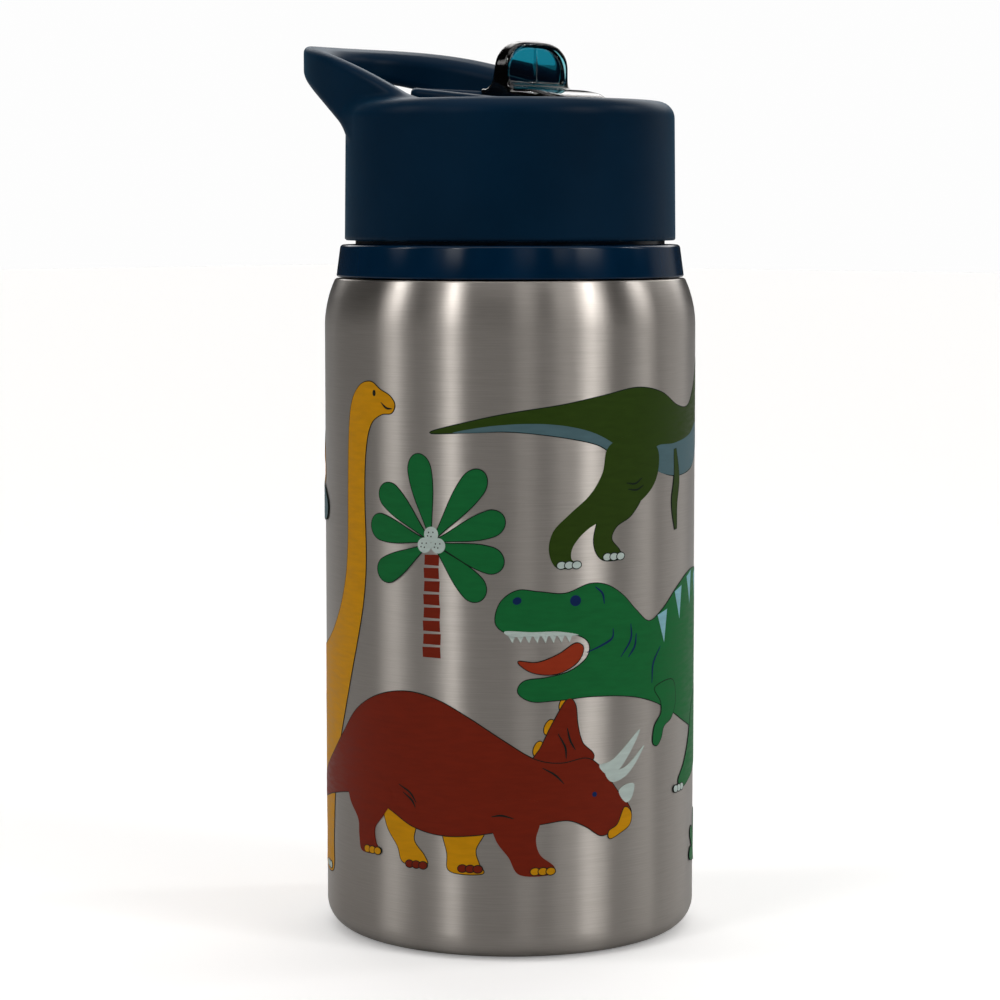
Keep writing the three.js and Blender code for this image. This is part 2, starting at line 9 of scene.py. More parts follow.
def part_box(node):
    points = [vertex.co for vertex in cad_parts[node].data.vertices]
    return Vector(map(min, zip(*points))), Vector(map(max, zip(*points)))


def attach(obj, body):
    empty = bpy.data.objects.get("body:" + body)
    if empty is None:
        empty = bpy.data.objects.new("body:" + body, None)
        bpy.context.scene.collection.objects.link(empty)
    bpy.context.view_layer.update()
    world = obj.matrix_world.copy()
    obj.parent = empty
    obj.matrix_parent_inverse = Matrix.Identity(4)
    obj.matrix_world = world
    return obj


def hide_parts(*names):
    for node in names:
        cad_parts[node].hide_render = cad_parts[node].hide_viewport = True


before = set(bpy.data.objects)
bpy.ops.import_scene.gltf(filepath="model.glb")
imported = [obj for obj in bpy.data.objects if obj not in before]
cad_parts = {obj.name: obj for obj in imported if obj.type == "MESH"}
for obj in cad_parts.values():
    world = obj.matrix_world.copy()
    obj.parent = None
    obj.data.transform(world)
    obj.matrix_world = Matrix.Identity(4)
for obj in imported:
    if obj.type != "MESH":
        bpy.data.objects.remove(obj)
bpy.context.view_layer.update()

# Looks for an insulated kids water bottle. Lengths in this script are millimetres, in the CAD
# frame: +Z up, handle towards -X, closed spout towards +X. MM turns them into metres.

MM = 0.001


def high(node):
    """The highest corner of a CAD node, in millimetres."""
    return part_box(node)[1] / MM


def low(node):
    """The lowest corner of a CAD node, in millimetres."""
    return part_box(node)[0] / MM


# ---- sizes read from the frame
BODY_R = high("outer_shell").y
NECK_TOP_Z = high("outer_shell").z
LIP_Z = high("inner_liner").z
LINER_R = high("inner_liner").y
COLLAR_R = high("neck_collar").y
COLLAR_BOTTOM_Z = low("neck_collar").z
COLLAR_LIP_Z = high("neck_collar").z
COLLAR_TOP_Z = COLLAR_LIP_Z - 1.2
LID_R = high("lid_shell").y
LID_BOTTOM_Z = low("lid_shell").z
LOOP_REACH = -low("lid_shell").x
LOOP_TOP_Z = high("lid_shell").z
SPOUT_HALF_WIDTH = high("spout").y
SPOUT_TIP_X = high("spout").x
TAB_TOP_Z = high("spout").z
BARREL_R = -low("spout").x
PIVOT_Z = low("spout").z + BARREL_R
INSERT_R = high("threaded_insert").y
BASE_R = high("base_cover").y

# ---- sizes the boxes don't give
# Steel body: walls, foot, shoulder, ledge under the collar, neck and screw ridge.
SHEET = 0.6
LINER_SHEET = 0.5
LINER_BOTTOM_Z = 13.6
LINER_SHOULDER_Z = 112
LINER_SHOULDER_R = 16
LIP_EDGE = 0.22
COVER_SHEET = 0.6
COVER_HEIGHT = 1.6
COVER_RING_DEPTH = 0.25
CORNER_R = 5.3
FOOT_R = 28.2
FOOT_LIP = 0.6
RECESS_Z = 3.6
SHOULDER_Z = 119
SHOULDER_R = 22
LEDGE_Z = COLLAR_BOTTOM_Z - 0.3
LEDGE_EDGE_R = 34.12
LEDGE_EDGE = 0.28
NECK_FILLET = 0.9
LOWER_NECK_R = 29.05
NECK_R = 28.1
NECK_BASE_Z = 137
PITCH = 4
TURNS = 1.5
MALE_START_Z = 140
RIDGE = 0.95
RIDGE_FOOT = 1.15
RIDGE_TIP = 0.5
# At each end the ridge fades over one part in this many of its length.
RIDGE_FADE = 14
RIDGE_STEPS = 216
# Collar, lid, insert, gasket and straw.
COLLAR_LIP_R = 30.4
LID_TOP_R = LID_R - 0.3
DECK_Z = 162.75
LID_INNER_R = 30.8
RIM_R = 3.25
INSERT_BORE_R = 29.35
INSERT_BOTTOM_Z = 136.6
BOSS_R = 8
BOSS_BORE_R = 6.5
BOSS_BOTTOM_Z = 143
GASKET_R = 29.05
GASKET_BORE_R = 25.6
STRAW_R = 3.5
STRAW_BORE_R = 2.6
CEILING_Z = 151.4
CEILING_THICK = 1.2
# Handle loop, with its arch over the distance from the axis, and the arms' lower edge.
LOOP_HALF_WIDTH = 27.9
LOOP_BAR = 5.55
LOOP_POWER = 2.29
LOOP_ROOT_Z = 162.54
LOOP_SLOPE = 0.503
LOOP_BEND = 0.00488
LOOP_LEAN = 1.39
LOOP_EDGE = 1.9
ARM_ROOT = 16
ARM_SPAN = 32
ARM_UNDER_Z = 153.6
ARM_RISE = 25.8
ARM_BEND = 10.4
# Turns the arms' height above their sloping edge into about the distance from it.
ARM_EDGE_SCALE = 0.85
# Spout: thumb tab with a sunk panel, mouthpiece, bore and pins.
TAB_FRONT_X = 7.7
TAB_BACK_X = 3.7
TAB_FLARE_Z = 172
TAB_FLARE = 0.028
# The tab's top corners are wider than they are high: widths shrink by this to make them round.
TAB_CORNER_SQUEEZE = 0.735
PANEL_HALF_WIDTH = 8.3
PANEL_DEPTH = 1.1
PANEL_RIB = 0.22
PANEL_RIB_WIDTH = 0.28
MOUTH_BOTTOM_Z = 155
MOUTH_CROWN = 2.2
MOUTH_CROWN_X = 9
FLOW_R = 3.1
PIN_R = 1.5
PIN_GAP = 0.3
PIN_HOLE_END_Y = 12.5
PIN_HOLE_START_Y = 6.9
# The lid's pocket for the spout, and the raised housing round its hinge.
POCKET_HALF_WIDTH = 9.7
POCKET_REAR_X = -9.3
POCKET_FRONT_X = 20.9
POCKET_FLOOR_Z = 154.4
WALL_HALF_WIDTH = 11.9
WALL_BOTTOM_Z = 153.2
SEAL_HOLE_R = 6.6
SEAL_HOLE_TOP_Z = 156
TAB_SLOT_END_X = -15.8
TAB_SLOT_FLOOR_Z = 162.2
HOUSING_REAR_X = -17.2
HOUSING_FRONT_X = 9.5
HOUSING_HALF_WIDTH = 12.3
HOUSING_TOP_Z = 165.7
HOUSING_FALL = 0.104
HOUSING_FALL_X = -16

# ---- camera
VIEW_AZIMUTH = math.radians(42.3)
VIEW_DISTANCE = 596
VIEW_HEIGHT = 140.44
VIEW_PITCH = 0.0937
VIEW_SIDE = -1.99
VIEW_LENS = 108.59


def add_camera():
    """The viewing point: a little above the middle, looking slightly down."""
    data = bpy.data.cameras.new("view")
    data.lens = VIEW_LENS
    data.sensor_width = 36
    data.clip_start = 0.01
    camera = bpy.data.objects.new("view", data)
    right = Vector((math.cos(VIEW_AZIMUTH), math.sin(VIEW_AZIMUTH), 0))
    back = Vector((math.sin(VIEW_AZIMUTH), -math.cos(VIEW_AZIMUTH), 0))
    camera.location = (back * VIEW_DISTANCE + right * VIEW_SIDE + Vector((0, 0, VIEW_HEIGHT))) * MM
    camera.rotation_euler = (math.pi / 2 - VIEW_PITCH, 0, VIEW_AZIMUTH)
    bpy.context.scene.collection.objects.link(camera)
    bpy.context.scene.camera = camera


# ---- material helpers
def linear(red, green, blue):
    """A colour given as 0-255 display values, as the linear values that shaders use."""
    def one(value):
        value = value / 255
        return value / 12.92 if value <= 0.04045 else ((value + 0.055) / 1.055) ** 2.4
    return (one(red), one(green), one(blue), 1.0)


def shaded(color, share):
    """A colour made darker."""
    return tuple(channel * share for channel in color[:3]) + (1.0,)


def set_inputs(tree, node, inputs):
    """Sets a node's inputs, each to a plain value or to another node's output."""
    for key, value in inputs.items():
        if isinstance(value, bpy.types.NodeSocket):
            tree.links.new(value, node.inputs[key])
        else:
            node.inputs[key].default_value = value


def add_node(tree, kind, inputs=None, **settings):
    """A shader node with its settings and inputs."""
    node = tree.nodes.new("ShaderNode" + kind)
    for setting, value in settings.items():
        setattr(node, setting, value)
    set_inputs(tree, node, inputs or {})
    return node


def start_material(name, color, roughness, metallic=0.0, inputs=None):
    """A material with its node tree and Principled shader."""
    material = bpy.data.materials.new(name)
    material.use_nodes = True
    shader = material.node_tree.nodes["Principled BSDF"]
    basic = {"Base Color": color, "Roughness": roughness, "Metallic": metallic}
    set_inputs(material.node_tree, shader, basic | (inputs or {}))
    return material, material.node_tree, shader


def noise(tree, scale, stretch=(1, 1, 1), detail=3.0, roughness=0.5):
    """Noise over the object's own coordinates. scale is in grains per metre."""
    place = add_node(tree, "TexCoord").outputs["Object"]
    mapped = add_node(tree, "Mapping", {"Vector": place, "Scale": stretch}).outputs["Vector"]
    inputs = {"Vector": mapped, "Scale": scale, "Detail": detail, "Roughness": roughness}
    return add_node(tree, "TexNoise", inputs).outputs["Fac"]


def spread(tree, value, low_value, high_value, from_low=0.3, from_high=0.7, kind="LINEAR"):
    """Maps a value to a range. Most of a noise lies between 0.3 and 0.7."""
    inputs = {"Value": value, "From Min": from_low, "From Max": from_high, "To Min": low_value,
              "To Max": high_value}
    return add_node(tree, "MapRange", inputs, interpolation_type=kind).outputs["Result"]


def tint(tree, value, first, second):
    """Mixes two colours by a value."""
    inputs = {"Factor": value, "A": first, "B": second}
    return add_node(tree, "Mix", inputs, data_type="RGBA").outputs["Result"]


def math_node(tree, operation, first, second):
    """A maths node on two values, either of which may be a plain number."""
    return add_node(tree, "Math", {0: first, 1: second}, operation=operation).outputs["Value"]


def bump(tree, shader, height, depth_mm, strength=1.0):
    """Small surface relief of the given depth."""
    inputs = {"Height": height, "Distance": depth_mm * MM, "Strength": strength}
    set_inputs(tree, shader, {"Normal": add_node(tree, "Bump", inputs).outputs["Normal"]})


def vary(tree, shader, value, roughness, colors=None):
    """Lets the roughness, and the colour where two are given, follow a noise."""
    set_inputs(tree, shader, {"Roughness": spread(tree, value, *roughness)})
    if colors:
        set_inputs(tree, shader, {"Base Color": tint(tree, spread(tree, value, 0, 1), *colors)})


# ---- materials
def brushed_steel():
    """Steel brushed around the body: fine scratches along the circumference."""
    brushing = {"Anisotropic": 1.0, "Anisotropic Rotation": 0.25}
    material, tree, shader = start_material("brushed_steel", linear(190, 186, 182), 0.3, 1.0, brushing)
    tangent = add_node(tree, "Tangent", direction_type="RADIAL", axis="Z")
    set_inputs(tree, shader, {"Tangent": tangent.outputs["Tangent"]})
    streaks = noise(tree, 110, (1, 1, 60), 5, 0.65)
    vary(tree, shader, streaks, (0.29, 0.38), (linear(183, 177, 170), linear(199, 193, 187)))
    bump(tree, shader, noise(tree, 160, (1, 1, 50), 4, 0.7), 0.006)
    return material


def satin_steel():
    """Plain drawn steel for the inner wall, pins and pressed parts."""
    material, tree, shader = start_material("satin_steel", linear(200, 198, 195), 0.28, 1.0)
    grain = noise(tree, 400, (1, 1, 6), 4)
    vary(tree, shader, grain, (0.22, 0.38))
    bump(tree, shader, grain, 0.004)
    return material


def navy_matte():
    """Moulded plastic with a fine spark-eroded grain and faint handling marks."""
    sheen = {"Sheen Weight": 0.2, "Sheen Roughness": 0.3, "Sheen Tint": (0.15, 0.5, 0.8, 1)}
    inputs = {"Specular IOR Level": 0.07} | sheen
    material, tree, shader = start_material("navy_matte", linear(8, 30, 52), 0.5, 0.0, inputs)
    clouds = noise(tree, 45, detail=4)
    vary(tree, shader, clouds, (0.36, 0.46), (linear(0, 31, 53), linear(0, 37, 62)))
    bump(tree, shader, noise(tree, 4200, detail=2), 0.012, 0.7)
    return material


def navy_gloss():
    """Polished collar plastic."""
    inputs = {"Specular IOR Level": 0.22}
    material, tree, shader = start_material("navy_gloss", linear(6, 38, 70), 0.2, 0.0, inputs)
    waves = noise(tree, 120, (1, 1, 0.5), 2)
    vary(tree, shader, waves, (0.12, 0.2), (linear(0, 33, 58), linear(1, 38, 66)))
    bump(tree, shader, waves, 0.02, 0.4)
    return material


def clear_teal():
    """Tinted clear plastic: it darkens with thickness."""
    inputs = {"Transmission Weight": 1.0, "IOR": 1.49}
    material, tree, shader = start_material("clear_teal", (1, 1, 1, 1), 0.03, 0.0, inputs)
    absorption = add_node(tree, "VolumeAbsorption", {"Color": (0.0, 0.66, 0.73, 1), "Density": 1420})
    set_inputs(tree, tree.nodes["Material Output"], {"Volume": absorption.outputs["Volume"]})
    ripples = noise(tree, 160, detail=1)
    vary(tree, shader, ripples, (0.02, 0.05))
    bump(tree, shader, ripples, 0.02, 0.3)
    return material


def moulded(name, color, roughness, subsurface=0.0):
    """A plain moulded plastic or rubber with a faint grain."""
    inputs = {"Subsurface Weight": subsurface, "Subsurface Radius": (0.002, 0.002, 0.002)}
    material, tree, shader = start_material(name, color, roughness, 0.0, inputs)
    grain = noise(tree, 900, detail=3)
    vary(tree, shader, grain, (roughness - 0.05, roughness + 0.05), (shaded(color, 0.9), color))
    bump(tree, shader, grain, 0.01, 0.5)
    return material


def clear_straw():
    """Clear, slightly cloudy straw plastic."""
    inputs = {"Transmission Weight": 0.85, "IOR": 1.46}
    material, tree, shader = start_material("clear_straw", linear(225, 238, 240), 0.12, 0.0, inputs)
    vary(tree, shader, noise(tree, 300), (0.08, 0.16))
    return material


def rough_metal():
    """Pressed powder of the getter."""
    material, tree, shader = start_material("pressed_powder", linear(90, 86, 82), 0.8, 0.7)
    grain = noise(tree, 5000, detail=5)
    set_inputs(tree, shader, {"Base Color": tint(tree, grain, linear(60, 57, 54), linear(125, 120, 114))})
    bump(tree, shader, grain, 0.05)
    return material


def ink(name, color):
    """Screen-printed ink with a slightly uneven coat."""
    inputs = {"Specular IOR Level": 0.1}
    material, tree, shader = start_material("ink_" + name, color, 0.42, 0.0, inputs)
    vary(tree, shader, noise(tree, 260, (1, 1, 5), 4), (0.36, 0.5), (shaded(color, 0.86), color))
    bump(tree, shader, noise(tree, 90, (1, 1, 60), 5, 0.7), 0.006)
    return material


# ---- mesh helpers
FILLET_STEP_DEG = 7.5


def add_piece(name, points, faces, materials, body, sharp_deg=35):
    """A mesh piece in millimetres that rides on a CAD body, with edges sharp beyond an angle."""
    mesh = bpy.data.meshes.new(name)
    mesh.from_pydata((np.asarray(points, float) * MM).tolist(), [], faces)
    mesh.update()
    mesh.shade_smooth()
    mesh.set_sharp_from_angle(angle=math.radians(sharp_deg))
    for material in materials:
        mesh.materials.append(material)
    piece = bpy.data.objects.new(name, mesh)
    bpy.context.scene.collection.objects.link(piece)
    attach(piece, body)
    return piece


def skin(node, shape, material, body, sharp_deg=35):
    """A piece that stands for a CAD node, from its points and faces."""
    piece = add_piece(node + "_skin", *shape, [material], body, sharp_deg)
    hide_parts(node)


def filleted(corners):
    """A closed section from (radius, height, fillet) corners, each fillet an arc."""
    section = []
    count = len(corners)
    for i, (r, z, fillet) in enumerate(corners):
        here = np.array([r, z], float)
        if fillet == 0:
            section.append(here)
            continue
        before = np.array(corners[i - 1][:2], float) - here
        after = np.array(corners[(i + 1) % count][:2], float) - here
        before /= np.linalg.norm(before)
        after /= np.linalg.norm(after)
        half = math.acos(max(-1, min(1, float(before @ after)))) / 2
        middle = before + after
        middle /= np.linalg.norm(middle)
        centre = here + middle * fillet / math.sin(half)
        first = here + before * fillet / math.tan(half) - centre
        last = here + after * fillet / math.tan(half) - centre
        start = math.atan2(first[1], first[0])
        sweep = (math.atan2(last[1], last[0]) - start + math.pi) % (2 * math.pi) - math.pi
        steps = max(2, round(abs(math.degrees(sweep)) / FILLET_STEP_DEG))
        for k in range(steps + 1):
            angle = start + sweep * k / steps
            section.append(centre + fillet * np.array([math.cos(angle), math.sin(angle)]))
    return [tuple(point) for point in section]


def arc(centre_r, centre_z, radius, from_deg, to_deg, steps):
    """Points of an arc in a radius-height section."""
    angles = np.radians(np.linspace(from_deg, to_deg, steps + 1))
    return [(centre_r + radius * math.cos(a), centre_z + radius * math.sin(a)) for a in angles]


def revolved(section, segments):
    """Points and faces of a section turned about the Z axis. A radius of 0 makes a pole."""
    area = sum(a[0] * b[1] - b[0] * a[1] for a, b in zip(section, section[1:] + section[:1]))
    section = section if area > 0 else section[::-1]
    angles = np.linspace(0, 2 * math.pi, segments, endpoint=False)
    points, rings = [], []
    for r, z in section:
        if r < 1e-6:
            rings.append([len(points)] * segments)
            points.append((0, 0, z))
            continue
        rings.append(list(range(len(points), len(points) + segments)))
        points += [(r * math.cos(a), r * math.sin(a), z) for a in angles]
    faces = []
    for first, second in zip(rings, rings[1:] + rings[:1]):
        if first[0] == first[1] and second[0] == second[1]:
            continue
        for i in range(segments):
            j = (i + 1) % segments
            faces.append(list(dict.fromkeys((first[i], first[j], second[j], second[i]))))
    return points, faces


def helix_ridge(inner_r, inner_half, outer_r, outer_half, start_z):
    """A rounded screw ridge that fades out at both ends."""
    inward = outer_r < inner_r
    flank = [(0, -1), (0.55, -0.93), (0.88, -0.7), (1, -0.35)]
    profile = flank + [(out, -up) for out, up in flank[::-1]]
    points, faces = [], []
    for i in range(RIDGE_STEPS + 1):
        along = i / RIDGE_STEPS
        fade = min(1, along * RIDGE_FADE, (1 - along) * RIDGE_FADE)
        fade = fade * fade * (3 - 2 * fade)
        angle = along * TURNS * 2 * math.pi
        for out, up in profile:
            radius = inner_r + (outer_r - inner_r) * out * fade
            half = inner_half + (outer_half - inner_half) * out
            height = start_z + along * TURNS * PITCH + up * half
            points.append((radius * math.cos(angle), radius * math.sin(angle), height))
    size = len(profile)
    for i in range(RIDGE_STEPS):
        for k in range(size):
            m = (k + 1) % size
            quad = [i * size + k, i * size + m, (i + 1) * size + m, (i + 1) * size + k]
            faces.append(quad if inward else quad[::-1])
    first = list(range(size))
    last = [RIDGE_STEPS * size + k for k in range(size)]
    faces.append(first[::-1] if inward else first)
    faces.append(last if inward else last[::-1])
    return points, faces


def merged(*parts):
    """Several (points, faces) shapes as one."""
    points, faces = [], []
    for more_points, more_faces in parts:
        base = len(points)
        points += [tuple(p) for p in more_points]
        faces += [[base + i for i in face] for face in more_faces]
    return points, faces


# ---- distance fields
def round_and(a, b, radius):
    """Where both fields are inside, with the edge between them rounded."""
    outside = np.hypot(np.maximum(a + radius, 0), np.maximum(b + radius, 0))
    return np.minimum(-radius, np.maximum(a, b)) + outside


def round_or(a, b, radius):
    """Where either field is inside, with a fillet of that radius between them."""
    return -round_and(-a, -b, radius)


def box_2d(u, v, low_u, high_u, low_v, high_v, radius):
    """Distance to a rectangle with rounded corners."""
    du = np.abs(u - (low_u + high_u) / 2) - (high_u - low_u) / 2 + radius
    dv = np.abs(v - (low_v + high_v) / 2) - (high_v - low_v) / 2 + radius
    return np.hypot(np.maximum(du, 0), np.maximum(dv, 0)) + np.minimum(np.maximum(du, dv), 0) - radius


def superellipse(x, y, half_x, half_y):
    """Near its edge, the distance to the superellipse |x/a|^n + |y/b|^n = 1."""
    u = np.maximum(np.abs(x) / half_x, 1e-6)
    v = np.maximum(np.abs(y) / half_y, 1e-6)
    size = (u ** LOOP_POWER + v ** LOOP_POWER) ** (1 / LOOP_POWER)
    power = LOOP_POWER - 1
    slope = size ** -power * np.hypot(u ** power / half_x, v ** power / half_y)
    return (size - 1) / slope


def shifted(cells, axes, steps):
    """Cell numbers moved by whole steps along two axes."""
    moved = cells.copy()
    moved[:, axes] += steps
    return moved


def surface_of(distance, low_corner, high_corner, step):
    """Quads on the zero level of a distance field: one vertex for each cell that the level crosses."""
    axes = [np.arange(a - step, b + 2 * step, step) for a, b in zip(low_corner, high_corner)]
    field = distance(*np.meshgrid(*axes, indexing="ij")).astype(np.float64)
    shape = np.array(field.shape) - 1
    total = np.zeros((*shape, 3))
    count = np.zeros(shape)
    edges = []
    for axis in range(3):
        last = field.shape[axis] - 1
        first_values = field.take(range(last), axis)
        second_values = field.take(range(1, last + 1), axis)
        crossed = (first_values < 0) != (second_values < 0)
        start = np.argwhere(crossed)
        a, b = first_values[crossed], second_values[crossed]
        place = start.astype(float)
        place[:, axis] += a / (a - b)
        others = [d for d in range(3) if d != axis]
        edges.append((axis, others, start, a < 0))
        for shift in ((0, 0), (0, -1), (-1, 0), (-1, -1)):
            cell = shifted(start, others, shift)
            fits = np.all((cell >= 0) & (cell < shape), axis=1)
            where = tuple(cell[fits].T)
            np.add.at(total, where, place[fits])
            np.add.at(count, where, 1)
    active = count > 0
    index = np.full(shape, -1)
    index[active] = np.arange(active.sum())
    points = total[active] / count[active][:, None] * step + np.array([a[0] for a in axes])
    faces = []
    for axis, others, start, inside_first in edges:
        around = ((0, 0), (-1, 0), (-1, -1), (0, -1))
        quads = np.stack([index[tuple(shifted(start, others, shift).T)] for shift in around], 1)
        flip = inside_first == (axis == 1)
        quads[flip] = quads[flip][:, ::-1]
        faces.append(quads)
    for _ in range(3):
        points = onto_level(distance, points, step)
    return points, np.concatenate(faces).tolist()


def onto_level(distance, points, step):
    """Moves points along the field's slope to its zero level."""
    probe = 0.05 * step
    longest_move = 0.35 * step
    least_slope = 0.5
    here = distance(*points.T)
    slope = np.stack([
        (distance(*(points + probe * axis).T) - distance(*(points - probe * axis).T)) / (2 * probe)
        for axis in np.eye(3)
    ], 1)
    size = np.maximum((slope ** 2).sum(1), least_slope ** 2)
    move = slope * (here / size)[:, None]
    return points - np.clip(move, -longest_move, longest_move)


# ---- steel body
def outer_shell(material):
    """Outer wall, shoulder, collar ledge and threaded neck."""
    centre_r = BODY_R - SHOULDER_R
    foot_r = BODY_R - CORNER_R
    inner = SHOULDER_R - SHEET
    ledge = math.degrees(math.asin((LEDGE_Z - SHOULDER_Z) / SHOULDER_R))
    ledge_inside = math.degrees(math.asin((LEDGE_Z - SHEET - SHOULDER_Z) / inner))
    fillet_r = LOWER_NECK_R + NECK_FILLET
    section = [
        (FOOT_R, RECESS_Z), (FOOT_R, FOOT_LIP),
        *arc(FOOT_R + FOOT_LIP, FOOT_LIP, FOOT_LIP, 180, 270, 5),
        *arc(foot_r, CORNER_R, CORNER_R, -90, 0, 16),
        *arc(centre_r, SHOULDER_Z, SHOULDER_R, 0, ledge - 0.6, 16),
        *arc(LEDGE_EDGE_R, LEDGE_Z - LEDGE_EDGE, LEDGE_EDGE, 25, 90, 4),
        (fillet_r, LEDGE_Z), *arc(fillet_r, LEDGE_Z + NECK_FILLET, NECK_FILLET, 270, 180, 6),
        (LOWER_NECK_R, NECK_BASE_Z - 1), (LOWER_NECK_R - 0.2, NECK_BASE_Z - 0.6),
        (NECK_R + 0.1, NECK_BASE_Z - 0.1), (NECK_R, NECK_BASE_Z + 0.2), (NECK_R, NECK_TOP_Z),
        (NECK_R - SHEET, NECK_TOP_Z), (NECK_R - SHEET, NECK_BASE_Z - 0.1),
        (LOWER_NECK_R - SHEET, NECK_BASE_Z - 0.9), (LOWER_NECK_R - SHEET, LEDGE_Z + 1),
        (LOWER_NECK_R, LEDGE_Z - SHEET),
        *arc(centre_r, SHOULDER_Z, inner, ledge_inside, 0, 6),
        *arc(foot_r, CORNER_R, CORNER_R - SHEET, 0, -90, 6),
        (FOOT_R + SHEET, SHEET), (FOOT_R + SHEET, RECESS_Z),
    ]
    ridge = helix_ridge(NECK_R - 0.2, RIDGE_FOOT, NECK_R + RIDGE, RIDGE_TIP, MALE_START_Z)
    skin("outer_shell", merged(revolved(section, 256), ridge), material, "bottle")


def base_cover(material):
    """Flat cover with a rolled rim and a shallow ring pressed into it."""
    rim_r = BASE_R - COVER_SHEET
    section = filleted([
        (0, 0, 0), (BASE_R - 7, 0, 0), (BASE_R - 6.4, COVER_RING_DEPTH, 0.3),
        (BASE_R - 5.2, COVER_RING_DEPTH, 0.3), (BASE_R - 4.6, 0, 0), (BASE_R, 0, 0.7),
        (BASE_R, COVER_HEIGHT, 0.15), (rim_r, COVER_HEIGHT, 0.15), (rim_r, COVER_SHEET, 0.2),
        (0, COVER_SHEET, 0),
    ])
    skin("base_cover", revolved(section, 160), material, "bottle")


def neck_collar(material):
    """Glossy ring with crisp rounded edges."""
    bore = LOWER_NECK_R + 0.3
    section = filleted([
        (bore, COLLAR_BOTTOM_Z + 1.4, 0.1), (bore + 0.9, COLLAR_BOTTOM_Z, 0.1),
        (COLLAR_R, COLLAR_BOTTOM_Z, 0.35), (COLLAR_R - 0.85, COLLAR_TOP_Z, 0.75),
        (COLLAR_LIP_R, COLLAR_TOP_Z, 0.15), (COLLAR_LIP_R, COLLAR_LIP_Z, 0.2), (bore, COLLAR_LIP_Z, 0.2),
    ])
    skin("neck_collar", revolved(section, 256), material, "bottle")


def inner_liner(material):
    """Inner wall with the rounded drinking lip."""
    centre_r = LINER_R - LINER_SHOULDER_R
    neck_r = NECK_R - SHEET - 0.3
    bore_r = neck_r - LINER_SHEET
    inner = LINER_SHOULDER_R - LINER_SHEET
    neck_turn = math.degrees(math.acos((neck_r - centre_r) / LINER_SHOULDER_R))
    bore_turn = math.degrees(math.acos((bore_r - centre_r) / inner))
    lip_low = NECK_TOP_Z + 0.3
    section = [
        (LINER_R, LINER_BOTTOM_Z),
        *arc(centre_r, LINER_SHOULDER_Z, LINER_SHOULDER_R, 0, neck_turn, 12),
        (neck_r, lip_low), (NECK_R, lip_low),
        *arc(NECK_R - LIP_EDGE, LIP_Z - LIP_EDGE, LIP_EDGE, 0, 90, 4),
        *arc(bore_r + LIP_EDGE, LIP_Z - LIP_EDGE, LIP_EDGE, 90, 180, 4),
        *arc(centre_r, LINER_SHOULDER_Z, inner, bore_turn, 0, 12),
        (LINER_R - LINER_SHEET, LINER_BOTTOM_Z),
    ]
    skin("inner_liner", revolved(section, 160), material, "bottle")


# ---- lid
def handle_field(x, y, z):
    """The arched loop: a ring in plan, between its arch and the arms' sloping lower edge."""
    reach = -x
    outer = superellipse(x, y, LOOP_REACH, LOOP_HALF_WIDTH)
    inner = -superellipse(x, y, LOOP_REACH - LOOP_BAR, LOOP_HALF_WIDTH - LOOP_BAR)
    lean = LOOP_LEAN * np.clip(-outer / LOOP_BAR, 0, 1)
    arch = LOOP_ROOT_Z + LOOP_SLOPE * reach - LOOP_BEND * reach ** 2 - lean
    slope = LOOP_SLOPE - 2 * LOOP_BEND * reach
    top = (z - arch) / np.sqrt(1 + slope ** 2)
    along = (reach - ARM_ROOT) / ARM_SPAN
    under = (ARM_UNDER_Z + ARM_RISE * along - ARM_BEND * along ** 2 - z) * ARM_EDGE_SCALE
    bar = round_and(np.maximum(outer, inner), np.maximum(top, under), LOOP_EDGE)
    return np.maximum(bar, -1 - reach)


def housing_field(x, y, z):
    """Raised cheeks on the deck, highest at the handle's side."""
    plan = box_2d(x, y, HOUSING_REAR_X, HOUSING_FRONT_X, -HOUSING_HALF_WIDTH, HOUSING_HALF_WIDTH, 3.5)
    top = z - HOUSING_TOP_Z + HOUSING_FALL * np.maximum(x - HOUSING_FALL_X, 0)
    return np.maximum(round_and(plan, top, 1.1), DECK_Z - 1 - z)


def lid_inside(x, y, z, radius):
    """The hollow under the deck, with the pocket's walls left standing in it."""
    hollow = round_and(radius - LID_INNER_R, z - DECK_Z + 2, 1)
    low_x, high_x = POCKET_REAR_X - 1.6, POCKET_FRONT_X + 1.5
    walls = box_2d(x, y, low_x, high_x, -WALL_HALF_WIDTH, WALL_HALF_WIDTH, 5)
    return np.maximum(hollow, -np.maximum(walls, WALL_BOTTOM_Z - z))


def lid_cuts(x, y, z, radius, turn):
    """The spout's pocket and tab slot, and the room round its barrel with the seal's hole."""
    half = POCKET_HALF_WIDTH
    corner = np.where(x > 0, 5.4, 1.5)
    pocket = box_2d(x, y, POCKET_REAR_X, POCKET_FRONT_X, -half, half, corner)
    pocket = round_and(pocket, POCKET_FLOOR_Z - z, 0.8)
    slot = np.maximum(box_2d(x, y, TAB_SLOT_END_X, 3, -half, half, 1.5), TAB_SLOT_FLOOR_Z - z)
    relief = np.maximum(turn - BARREL_R - 0.5, np.abs(y) - half)
    seal_hole = np.maximum(radius - SEAL_HOLE_R, z - SEAL_HOLE_TOP_Z)
    return np.minimum(pocket, slot), np.minimum(relief, seal_hole)


